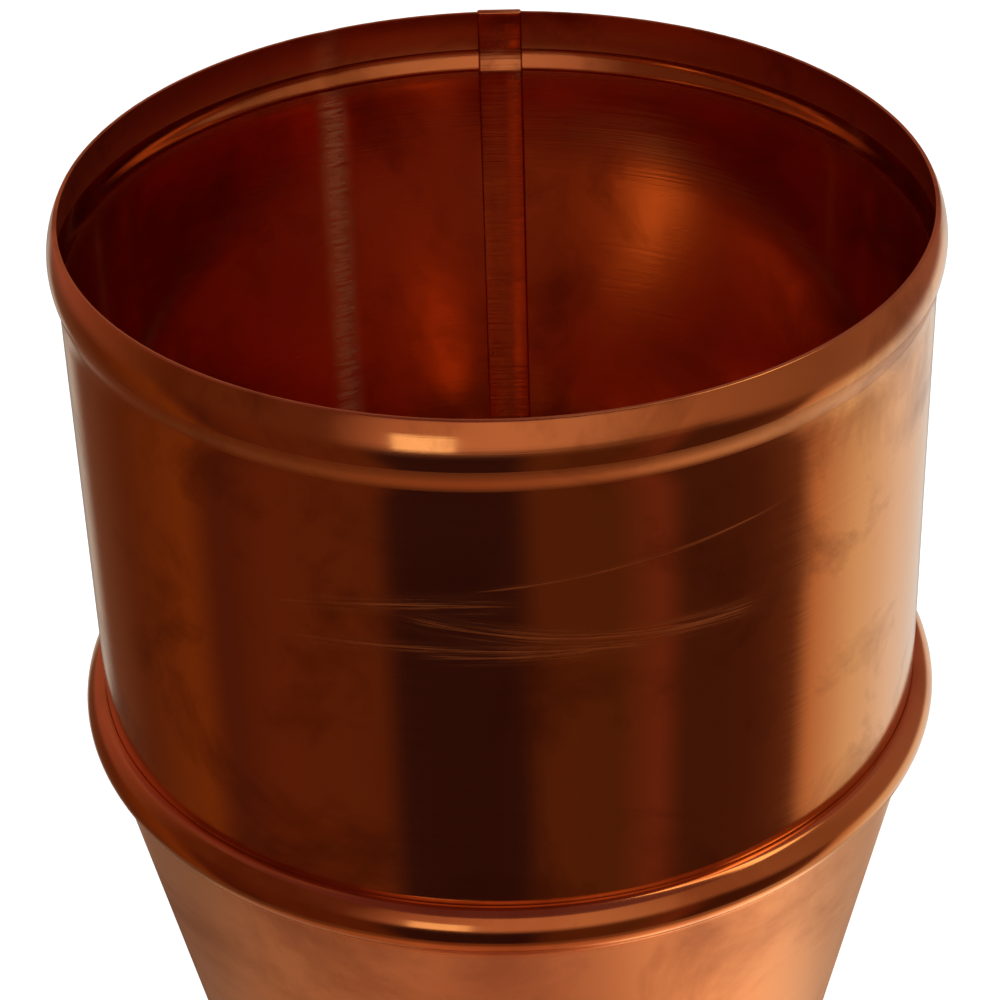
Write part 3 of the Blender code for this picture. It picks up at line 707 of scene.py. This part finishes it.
low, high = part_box("glass_tube")
tube_radius = high.x
bore_radius = tube_radius - TUBE_WALL
bore_floor = low.z + TUBE_FLOOR
fire_polish = TUBE_WALL / 4
glass_tube = turned("glass_cylinder", ring_of(
    (TIP, low.z), (tube_radius - 1 * MM, low.z), (tube_radius - 0.3 * MM, low.z + 0.3 * MM),
    (tube_radius, low.z + 1 * MM), (tube_radius, high.z - fire_polish),
    (tube_radius - fire_polish * 0.3, high.z - fire_polish * 0.3), (tube_radius - TUBE_WALL / 2, high.z),
    (bore_radius + fire_polish * 0.3, high.z - fire_polish * 0.3), (bore_radius, high.z - fire_polish),
    (bore_radius, bore_floor + BORE_ROUND), (bore_radius - BORE_ROUND * 0.3, bore_floor + BORE_ROUND * 0.3),
    (bore_radius - BORE_ROUND, bore_floor), (TIP, bore_floor),
), sides=128)
fit(glass_tube, "measuring_tube", "tube_glass", glass, "glass_tube")

low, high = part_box("tube_foot")
SHOE_BEAD = 0.45 * MM
shoe = turned("tube_shoe", ring_of(
    (TIP, low.z), (high.x, low.z), (high.x, high.z - 3 * MM), (high.x - SHOE_BEAD, high.z - 2.6 * MM),
    (high.x - SHOE_BEAD, high.z - 2.2 * MM), (high.x, high.z - 1.8 * MM), (high.x, high.z),
    (high.x - BRASS_SHEET, high.z), (high.x - BRASS_SHEET, low.z + BRASS_SHEET), (TIP, low.z + BRASS_SHEET),
), sides=128, edge=EDGE)
fit(shoe, "measuring_tube", "brass_fitting", brass, "tube_foot")
low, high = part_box("tube_ferrule")
band = turned("lip_band", sheet_of([(high.x, high.z), (high.x, low.z)], BRASS_SHEET),
              sides=128, edge=0.2 * MM)
fit(band, "measuring_tube", "brass_fitting", brass, "tube_ferrule")

ENAMEL = 0.06 * MM
RAIN_MM = 10 * MM       # length of scale for one millimetre of rain
LINE_HEIGHT = 0.28 * MM
SCALE_RANGE = 20        # millimetres of rain
enamel, output = new_material("scale_enamel")
tree = enamel.node_tree
fired = place(tree, "TexNoise", {
    "Vector": place(tree, "TexCoord").outputs["Object"], "Scale": 900.0, "Detail": 3.0,
})
tone = place(tree, "Mix", {
    "Factor": fired.outputs["Fac"], 6: (0.10, 0.022, 0.016, 1), 7: (0.16, 0.036, 0.024, 1),
}, data_type="RGBA")
shader = place(tree, "BsdfPrincipled", {"Base Color": tone.outputs[2], "Roughness": 0.35})
tree.links.new(shader.outputs[0], output.inputs["Surface"])


def wrapped(piece, lift):
    """Bends a flat piece drawn in X and Z round the front of the tube, with its face at lift."""
    for vertex in piece.data.vertices:
        x, y, z = vertex.co
        angle = x / tube_radius
        radius = tube_radius + lift - y
        vertex.co = (radius * math.sin(angle), -radius * math.cos(angle), z)


marks = []
for step in range(SCALE_RANGE * 5 + 1):
    width = 13 * MM if step % 25 == 0 else 10 * MM if step % 5 == 0 else 5.5 * MM
    height = bore_floor + step * RAIN_MM / 5
    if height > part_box("tube_ferrule")[0].z - 3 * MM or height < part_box("tube_foot")[1].z + 1 * MM:
        continue
    bpy.ops.object.select_all(action="DESELECT")
    bpy.ops.mesh.primitive_grid_add(x_subdivisions=8, y_subdivisions=1, size=1)
    mark = bpy.context.object
    bpy.ops.object.mode_set(mode="EDIT")
    bpy.ops.transform.resize(value=(width, LINE_HEIGHT, 1), center_override=(0, 0, 0))
    bpy.ops.mesh.extrude_region_move(TRANSFORM_OT_translate={"value": (0, 0, ENAMEL)})
    bpy.ops.mesh.select_all(action="SELECT")
    bpy.ops.mesh.normals_make_consistent(inside=False)
    bpy.ops.object.mode_set(mode="OBJECT")
    mark.data.transform(Matrix.Translation((0, 0, height)) @ Matrix.Rotation(math.pi / 2, 4, "X"))
    wrapped(mark, 0.0)
    marks.append(mark)
for rain in range(5, SCALE_RANGE, 5):
    text = bpy.data.curves.new("figure", "FONT")
    text.body = str(rain)
    text.size = 6 * MM
    text.align_x = "LEFT"
    text.align_y = "CENTER"
    text.extrude = ENAMEL / 2
    figure = bpy.data.objects.new("figure", text)
    bpy.context.scene.collection.objects.link(figure)
    bpy.ops.object.select_all(action="DESELECT")
    figure.select_set(True)
    bpy.context.view_layer.objects.active = figure
    bpy.ops.object.convert(target="MESH")
    figure.data.transform(
        Matrix.Translation((8 * MM, 0, bore_floor + rain * RAIN_MM)) @ Matrix.Rotation(math.pi / 2, 4, "X")
    )
    wrapped(figure, ENAMEL / 2)
    marks.append(figure)
bpy.ops.object.select_all(action="DESELECT")
for mark in marks:
    mark.select_set(True)
bpy.context.view_layer.objects.active = marks[0]
bpy.ops.object.join()
scale = bpy.context.object
scale.name = "rain_scale"
fit(scale, "measuring_tube", "tube_glass", enamel)


# ---------------------------------------------------------------- slip collar
# A sleeve of sheet copper, soldered inside the foot of the neck, that slides down over the case.
# Its lower edge is rolled back over itself, and that hem lands on the bead of the case.
HEM_HEIGHT = 3.2 * MM
HEM_DEPTH = 1.2 * MM
collar_copper = metal("collar_copper", COPPER_BRIGHT, COPPER_SOILED, 0.15, 0.28, blotch_size=36.0, seed=6.0)
low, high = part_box("slip_collar")
collar_radius = high.x - HEM_DEPTH
hem_top = low.z + HEM_HEIGHT
collar = turned("collar_sleeve", ring_of(
    (collar_radius, high.z), (collar_radius, hem_top + FILLET), (collar_radius + 0.1 * MM, hem_top),
    *arc((collar_radius, hem_top), (collar_radius, low.z), HEM_DEPTH, 8),
    (collar_radius, low.z), (collar_radius - SHEET, low.z), (collar_radius - SHEET, high.z),
), edge=EDGE)
fit(collar, "collector", "copper_collar", collar_copper, "slip_collar")


# ---------------------------------------------------------------- tapered neck
# One sheet of satin copper, spun to a cone with a proud bead at its top. The bead's upper edge is
# sweated round the foot of the catch cylinder, and the cone's plain end takes the collar.
RING_BEAD_DEPTH = 2.45 * MM
RING_BEAD_HEIGHT = 8.4 * MM
NECK_LIP = 5.4 * MM
BEAD_POLISH = 0.13      # roughness of the bead, which hands keep bright
CONE_BLOOM = 0.90       # how far the cone's satin is still bare metal
neck_copper = metal("neck_copper", (0.81, 0.36, 0.155), (0.52, 0.19, 0.075), 0.30, 0.42, blotch_size=24.0,
                    line_size=700.0, swell=0.06 * MM, seed=7.0)
low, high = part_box("tapered_neck")
WALL_RADIUS = 64.4 * MM
CONE_TOP = 65.1 * MM
NECK_END = 49.0 * MM
SWEAT_EDGE = WALL_RADIUS + 0.05 * MM
bead_foot = high.z - RING_BEAD_HEIGHT
neck_foot = low.z + NECK_LIP
bead = arc((WALL_RADIUS + 0.9 * MM, high.z), (CONE_TOP, bead_foot), RING_BEAD_DEPTH - 0.02 * MM, 18)
cone = softened([bead[-1], (CONE_TOP, bead_foot), (NECK_END, neck_foot), (NECK_END, low.z)])
line = [(WALL_RADIUS + 0.75 * MM, high.z), *bead, *cone[1:]]
neck = turned("neck_cone", ring_of(
    (SWEAT_EDGE, high.z - 0.1 * MM), *line,
    *((radius - SHEET, height) for radius, height in reversed(line[1:])),
    (SWEAT_EDGE, high.z - 0.7 * MM),
), edge=0)
tree = neck_copper.node_tree
shader = tree.nodes["Principled BSDF"]
spot = place(tree, "SeparateXYZ", {0: place(tree, "TexCoord").outputs["Object"]})
satin = place(tree, "MapRange", {
    "Value": spot.outputs["Z"], "From Min": bead_foot - 1.5 * MM, "From Max": bead_foot + 0.5 * MM,
    "To Min": 1.0, "To Max": 0.0,
})
old_rough = shader.inputs["Roughness"].links[0].from_socket
rubbed = place(tree, "Mix", {0: satin.outputs[0], 2: BEAD_POLISH, 3: old_rough}, data_type="FLOAT")
tree.links.new(rubbed.outputs[0], shader.inputs["Roughness"])
bloom = place(tree, "MapRange", {"Value": satin.outputs[0], "To Min": 1.0, "To Max": CONE_BLOOM})
tree.links.new(bloom.outputs[0], shader.inputs["Metallic"])
fit(neck, "collector", "copper_neck", neck_copper, "tapered_neck")


# ---------------------------------------------------------------- catch cylinder
# The collecting mouth: one sheet rolled and locked in a seam at the back, with its edge cut and
# dressed, a half round bead swaged below the edge, and the marks of years of hands and tools.
RIM_BEAD_HEIGHT = 10.1 * MM
RIM_BEAD_DEPTH = 1.25 * MM
RIM_LEAN = 0.3 * MM
ROW = 2.5 * MM
low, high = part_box("catch_cylinder")
wall_foot = low.z
bead_foot = RIM_TOP - RIM_BEAD_HEIGHT
edge_radius = WALL_RADIUS - RIM_LEAN
line = [(edge_radius, RIM_TOP), *arc((edge_radius, RIM_TOP), (WALL_RADIUS, bead_foot), RIM_BEAD_DEPTH, 16)]
line += [(WALL_RADIUS + 0.1 * MM, bead_foot), (WALL_RADIUS, bead_foot - 0.5 * MM)]
rows = int((bead_foot - wall_foot) / ROW)
line += [(WALL_RADIUS, bead_foot - 0.5 * MM - (bead_foot - wall_foot - 0.5 * MM) * i / rows)
         for i in range(1, rows + 1)]
inner_line = [(radius - SHEET, height) for radius, height in line]
wall = turned("catch_wall", sheet_of(line), sides=384, edge=0.1 * MM)

KINK_AZIMUTH = math.radians(114.5)  # where the sheet took a set in the rolls
KINK_WIDTH = 1.6 * MM
KINK_DEPTH = 0.16 * MM
TICK_WIDTH = 3.6 * MM               # the rolls' ticks lie within this of the set
DENT_DEPTH = 0.13 * MM
BURR_HEIGHT = 0.05 * MM
SEAM_AZIMUTH = math.radians(88.7)
GROOVE_WIDTH = 0.5 * MM
GROOVE_DEPTH = 0.2 * MM
DULL = 0.46                         # roughness of a drag mark, and of the sheet where it is dull
DULL_FOOT = RIM_TOP - 14 * MM       # inside, the sheet dulls between these two heights
DULL_TOP = RIM_TOP - 10 * MM
DULL_SHARE = 0.70                   # and this much of the way
SCUFF_BARE = 0.80                   # how far a tick is still bare metal
for vertex in wall.data.vertices:
    x, y, z = vertex.co
    radius = math.hypot(x, y)
    angle = math.atan2(y, x)
    low_down = min(1.0, (RIM_TOP - z) / RIM_BEAD_HEIGHT) * min(1.0, (z - wall_foot) / RIM_BEAD_HEIGHT)
    across = (angle - KINK_AZIMUTH) * radius
    change = -KINK_DEPTH * math.exp(-(across / KINK_WIDTH) ** 2)
    dent = noise.noise(Vector((math.cos(angle) * 2.2, math.sin(angle) * 2.2, z * 20)))
    change += DENT_DEPTH * dent * low_down
    burr = BURR_HEIGHT * noise.noise(Vector((x * 900, y * 900, 0))) if z > RIM_TOP - 0.15 * MM else 0
    share = (radius + change) / radius
    vertex.co = (x * share, y * share, z + min(burr, 0))


# Marks that only the wall has. A drag is a sheaf of hairlines along a slanted arc, given by its
# ends in degrees from the front, its height below the rim, its slope and its bow.
drag, drag_in, drag_out = shader_group(
    "drag_mark", {"From": -30.0, "To": 30.0, "Height": 0.0, "Slope": 0.0, "Bow": 0.0, "Spread": 1.0},
    ("Drag",),
)
spot = place(drag, "SeparateXYZ", {0: place(drag, "TexCoord").outputs["Object"]})
front = place(drag, "Math", {0: spot.outputs["Y"], 1: -1.0}, operation="MULTIPLY")
turn = place(drag, "Math", {0: spot.outputs["X"], 1: front.outputs[0]}, operation="ARCTAN2")
degrees = place(drag, "Math", {0: turn.outputs[0], 1: math.degrees(1)}, operation="MULTIPLY")
bowed = place(drag, "Math", {0: degrees.outputs[0], 1: drag_in.outputs["Bow"], 2: drag_in.outputs["Slope"]},
              operation="MULTIPLY_ADD")
course = place(drag, "Math", {0: degrees.outputs[0], 1: bowed.outputs[0], 2: drag_in.outputs["Height"]},
               operation="MULTIPLY_ADD")
away = place(drag, "Math", {0: spot.outputs["Z"], 1: course.outputs[0]}, operation="SUBTRACT")
off = place(drag, "Math", {0: away.outputs[0]}, operation="ABSOLUTE")
beside = place(drag, "MapRange", {
    "Value": off.outputs[0], "From Min": 0.0, "From Max": drag_in.outputs["Spread"],
    "To Min": 1.0, "To Max": 0.0,
})
begun = place(drag, "Math", {0: degrees.outputs[0], 1: drag_in.outputs["From"]}, operation="SUBTRACT")
left = place(drag, "Math", {0: drag_in.outputs["To"], 1: degrees.outputs[0]}, operation="SUBTRACT")
nearer = place(drag, "Math", {0: begun.outputs[0], 1: left.outputs[0]}, operation="MINIMUM")
along = place(drag, "MapRange", {"Value": nearer.outputs[0], "From Min": 0.0, "From Max": 5.0})
strands = place(drag, "CombineXYZ", {"X": degrees.outputs[0], "Y": away.outputs[0]})
stretched = place(drag, "Mapping", {"Vector": strands.outputs[0], "Scale": (0.06, 2500.0, 1.0)})
hairs = place(drag, "TexNoise", {
    "Vector": stretched.outputs[0], "Scale": 1.0, "Detail": 2.0, "Roughness": 0.6,
})
fine = place(drag, "MapRange", {"Value": hairs.outputs["Fac"], "From Min": 0.38, "From Max": 0.60})
band_mask = place(drag, "Math", {0: beside.outputs[0], 1: along.outputs[0]}, operation="MULTIPLY")
both = place(drag, "Math", {0: band_mask.outputs[0], 1: fine.outputs[0]}, operation="MULTIPLY")
drag.links.new(both.outputs[0], drag_out.inputs["Drag"])

DRAGS = [   # from, to (degrees), depth below the rim, rise per degree, bow, half width (mm)
    (-32, 2, 28.6, -0.02, -0.0052, 2.2), (-14, 34, 33.4, -0.16, 0.0022, 2.6),
    (-30, 20, 36.0, -0.03, -0.0030, 1.6), (-6, 37, 25.8, 0.13, 0.0, 0.5),
    (-12, 14, 37.0, 0.02, 0.0, 2.0),
]
wall_copper = metal("wall_copper", COPPER_BRIGHT, (0.44, 0.17, 0.065), 0.10, 0.20, blotch_size=46.0,
                    line_depth=0.005 * MM, swell=0.02 * MM, seed=0.0)
tree = wall_copper.node_tree
shader = tree.nodes["Principled BSDF"]
total = None
for begin, end, depth, slope, bow, spread in DRAGS:
    mark = place(tree, "Group", node_tree=drag)
    for socket, value in zip(("From", "To", "Height", "Slope", "Bow", "Spread"),
                             (begin, end, RIM_TOP - depth * MM, slope * MM, bow * MM, spread * MM)):
        mark.inputs[socket].default_value = value
    total = mark.outputs[0] if total is None else place(
        tree, "Math", {0: total, 1: mark.outputs[0]}, operation="MAXIMUM",
    ).outputs[0]
outside = place(tree, "VectorMath", {
    0: place(tree, "NewGeometry").outputs["True Normal"], 1: place(tree, "TexCoord").outputs["Object"],
}, operation="DOT_PRODUCT")
faced = place(tree, "Math", {0: outside.outputs["Value"], 1: 0.0}, operation="GREATER_THAN")
scored = place(tree, "Math", {0: total, 1: faced.outputs[0]}, operation="MULTIPLY")
# Inside, the sheet is dull behind the bead, and the rolls left a row of ticks down the set. The lock
# seam shows only as a fine groove at the back.
spot = place(tree, "SeparateXYZ", {0: place(tree, "TexCoord").outputs["Object"]})
turn = place(tree, "Math", {0: spot.outputs["Y"], 1: spot.outputs["X"]}, operation="ARCTAN2")
aside = place(tree, "Math", {0: turn.outputs[0], 1: KINK_AZIMUTH}, operation="SUBTRACT")
apart = place(tree, "Math", {0: aside.outputs[0]}, operation="ABSOLUTE")
from_seam = place(tree, "Math", {0: turn.outputs[0], 1: SEAM_AZIMUTH}, operation="SUBTRACT")
seam_gap = place(tree, "Math", {0: from_seam.outputs[0]}, operation="ABSOLUTE")
groove = place(tree, "MapRange", {"Value": seam_gap.outputs[0], "From Max": GROOVE_WIDTH / WALL_RADIUS})
sunk = place(tree, "Bump", {
    "Height": groove.outputs[0], "Distance": GROOVE_DEPTH,
    "Normal": shader.inputs["Normal"].links[0].from_socket,
})
tree.links.new(sunk.outputs[0], shader.inputs["Normal"])
strip = place(tree, "MapRange", {
    "Value": apart.outputs[0], "From Max": TICK_WIDTH / WALL_RADIUS, "To Min": 1.0, "To Max": 0.0,
}, interpolation_type="SMOOTHSTEP")
rungs = place(tree, "CombineXYZ", {"X": aside.outputs[0], "Y": spot.outputs["Z"]})
spaced = place(tree, "Mapping", {"Vector": rungs.outputs[0], "Scale": (9.0, 1500.0, 1.0)})
ticks = place(tree, "TexNoise", {"Vector": spaced.outputs[0], "Scale": 1.0, "Detail": 2.0})
struck = place(tree, "MapRange", {
    "Value": ticks.outputs["Fac"], "From Min": 0.32, "From Max": 0.70, "To Min": 0.1,
})
under = place(tree, "MapRange", {
    "Value": spot.outputs["Z"], "From Min": DULL_FOOT, "From Max": DULL_TOP, "To Max": DULL_SHARE,
})
below = place(tree, "Math", {0: 1.0, 1: under.outputs[0]}, operation="SUBTRACT")
rung = place(tree, "Math", {0: strip.outputs[0], 1: struck.outputs[0]}, operation="MULTIPLY")
ticked = place(tree, "Math", {0: rung.outputs[0], 1: below.outputs[0]}, operation="MULTIPLY")
worst = place(tree, "Math", {0: ticked.outputs[0], 1: under.outputs[0]}, operation="MAXIMUM")
within = place(tree, "Math", {0: 1.0, 1: faced.outputs[0]}, operation="SUBTRACT")
dulled = place(tree, "Math", {0: worst.outputs[0], 1: within.outputs[0]}, operation="MULTIPLY")
marked = place(tree, "Math", {0: scored.outputs[0], 1: dulled.outputs[0]}, operation="MAXIMUM")
old_rough = shader.inputs["Roughness"].links[0].from_socket
rougher = place(tree, "Mix", {0: marked.outputs[0], 2: old_rough, 3: DULL}, data_type="FLOAT")
tree.links.new(rougher.outputs[0], shader.inputs["Roughness"])
scuffed = place(tree, "Math", {0: ticked.outputs[0], 1: within.outputs[0]}, operation="MULTIPLY")
bare = place(tree, "MapRange", {"Value": scuffed.outputs[0], "To Min": 1.0, "To Max": SCUFF_BARE})
tree.links.new(bare.outputs[0], shader.inputs["Metallic"])
fit(wall, "collector", "copper_wall", wall_copper, "catch_cylinder")


# ---------------------------------------------------------------- lock seam
# The two edges of the sheet are hooked together, hammered flat on the inside and run with solder.
# The fold stands a little above the cut edge, where its layers were dressed over.
SEAM_WIDTH = 7.2 * MM
SEAM_THICKNESS = 1.2 * MM
SHY = 0.01 * MM         # the fold's top is this far inside its own size
SEAM_SINK = 0.1 * MM    # the strip lies this deep in the wall
seam_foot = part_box("solder_ring")[1].z + FIT_GAP
bpy.ops.object.select_all(action="DESELECT")
bpy.ops.mesh.primitive_plane_add(size=1)
seam = bpy.context.object
seam.name = "lock_seam"
bpy.ops.object.mode_set(mode="EDIT")
bpy.ops.transform.resize(value=(SEAM_THICKNESS, SEAM_WIDTH, 1), center_override=(0, 0, 0))
profile = [point for point in reversed(inner_line) if point[1] >= seam_foot]
profile.append((inner_line[0][0], high.z - SHY))
radius, height = profile[0]
bpy.ops.transform.translate(value=(radius - SEAM_THICKNESS / 2 + SEAM_SINK, 0, height))
for next_radius, next_height in profile[1:]:
    bpy.ops.mesh.extrude_region_move(
        TRANSFORM_OT_translate={"value": (next_radius - radius, 0, next_height - height)}
    )
    radius, height = next_radius, next_height
bpy.ops.mesh.select_all(action="SELECT")
bpy.ops.mesh.normals_make_consistent(inside=False)
bpy.ops.object.mode_set(mode="OBJECT")
rounded(seam, 0.35 * MM, segments=3)
seam.data.transform(Matrix.Rotation(SEAM_AZIMUTH, 4, "Z"))
bpy.ops.object.shade_smooth_by_angle(angle=math.radians(40))
seam_copper = metal("seam_copper", (0.84, 0.42, 0.20), (0.66, 0.29, 0.13), 0.15, 0.32, blotch_size=160.0,
                    line_size=1100.0, line_depth=0.03 * MM, seed=8.0)
fit(seam, "collector", "copper_wall", seam_copper)


# ---------------------------------------------------------------- funnel, solder and spout
# The funnel's flange is soldered inside the foot of the catch cylinder. Rain runs down it, through
# the strainer, and drips from the spout into the measuring tube.
funnel_copper = metal("funnel_copper", (0.78, 0.35, 0.155), (0.50, 0.20, 0.085), 0.26, 0.42, blotch_size=32.0,
                      line_size=700.0, seed=9.0)
FUNNEL_FLANGE = 5 * MM
FUNNEL_NECK = 6 * MM
FUNNEL_SLOPE = 0.785
low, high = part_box("catch_funnel")
spout_low, spout_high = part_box("spout_tube")
neck_bore = spout_high.x + FIT_GAP
rim_foot = high.z - FUNNEL_FLANGE
cone_foot = low.z + FUNNEL_NECK
outer = softened([
    (high.x, high.z), (high.x, rim_foot), (neck_bore + SHEET, cone_foot), (neck_bore + SHEET, low.z),
], 1.2 * MM)
inner = softened([
    (neck_bore, low.z), (neck_bore, cone_foot + SHEET), (high.x - SHEET, rim_foot + SHEET),
    (high.x - SHEET, high.z),
], 1.2 * MM)
funnel = turned("funnel_cone", ring_of(*outer, *inner), edge=0.0)
fit(funnel, "collector", "copper_funnel", funnel_copper, "catch_funnel")
spout = turned("drip_spout", sheet_of([(spout_high.x, spout_high.z), (spout_high.x, spout_low.z)]),
               sides=64, edge=EDGE)
fit(spout, "collector", "copper_funnel", funnel_copper, "spout_tube")

solder = metal("soft_solder", (0.60, 0.59, 0.56), (0.36, 0.34, 0.31), 0.30, 0.48, blotch_size=150.0,
               line_size=300.0, swell=0.12 * MM, seed=10.0)
low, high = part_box("solder_ring")
size = high.z - low.z
fillet = turned("solder_fillet", ring_of(
    (high.x, low.z), (high.x, high.z), (high.x - size * 0.35, low.z + size * 0.42), (high.x - size, low.z),
), sides=192)
for vertex in fillet.data.vertices:
    x, y, z = vertex.co
    if z > low.z + size * 0.1:
        vertex.co.z -= size * 0.4 * abs(noise.noise(Vector((x * 60, y * 60, 0))))
fit(fillet, "collector", "solder", solder, "solder_ring")


# ---------------------------------------------------------------- strainer
# A dome of woven brass wire in a turned brass ring, with a wire loop to lift it out by. It keeps
# leaves and insects out of the spout.
low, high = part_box("strainer_ring")
RING_WIDTH = 1.6 * MM
strainer_ring = turned("strainer_rim", ring_of(
    (high.x, low.z + RING_WIDTH * FUNNEL_SLOPE), (high.x, high.z), (high.x - RING_WIDTH, high.z),
    (high.x - RING_WIDTH, low.z),
), sides=128, edge=0.2 * MM)
fit(strainer_ring, "strainer", "brass_fitting", brass, "strainer_ring")

GAUZE_WIRE = 0.17 * MM
GAUZE_PITCH = 1.15 * MM
low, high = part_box("strainer_gauze")
rise = high.z - low.z
sphere = (high.x ** 2 + rise ** 2) / (2 * rise)
strands = []
count = int(high.x / GAUZE_PITCH)
for lengthways in (True, False):
    for row in range(-count, count + 1):
        offset = row * GAUZE_PITCH
        span = math.sqrt(max(high.x ** 2 - offset ** 2, 0)) - GAUZE_WIRE
        steps = max(int(2 * span / (GAUZE_PITCH / 2)), 2)
        if span < GAUZE_PITCH:
            continue
        strand = []
        for i in range(steps + 1):
            u = -span + 2 * span * i / steps
            dome = high.z - sphere + math.sqrt(sphere ** 2 - u ** 2 - offset ** 2) - 2.4 * GAUZE_WIRE
            over = math.cos(math.pi * (u / GAUZE_PITCH + row)) * (1 if lengthways else -1)
            height = dome + over * GAUZE_WIRE
            strand.append((u, offset, height) if lengthways else (offset, u, height))
        strands.append(strand)
weave = drawn_wire("gauze_weave", GAUZE_WIRE, 0, strands, angle=80)
gauze_brass = metal("gauze_brass", (0.74, 0.50, 0.20), (0.45, 0.29, 0.11), 0.26, 0.44,
                    blotch_size=90.0, seed=11.0)
fit(weave, "strainer", "brass_gauze", gauze_brass, "strainer_gauze")

low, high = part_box("strainer_loop")
LOOP_WIRE = 0.7 * MM
loop_radius = high.x - LOOP_WIRE
top = high.z - LOOP_WIRE - loop_radius
route = [(-loop_radius, low.z)]
route += [(loop_radius * math.cos(math.pi * (1 - i / 32)), top + loop_radius * math.sin(math.pi * i / 32))
          for i in range(33)]
route.append((loop_radius, low.z))
loop = drawn_wire("lifting_loop", LOOP_WIRE, 4, [[(x, 0, z) for x, z in route]])
fit(loop, "strainer", "brass_fitting", brass, "strainer_loop")
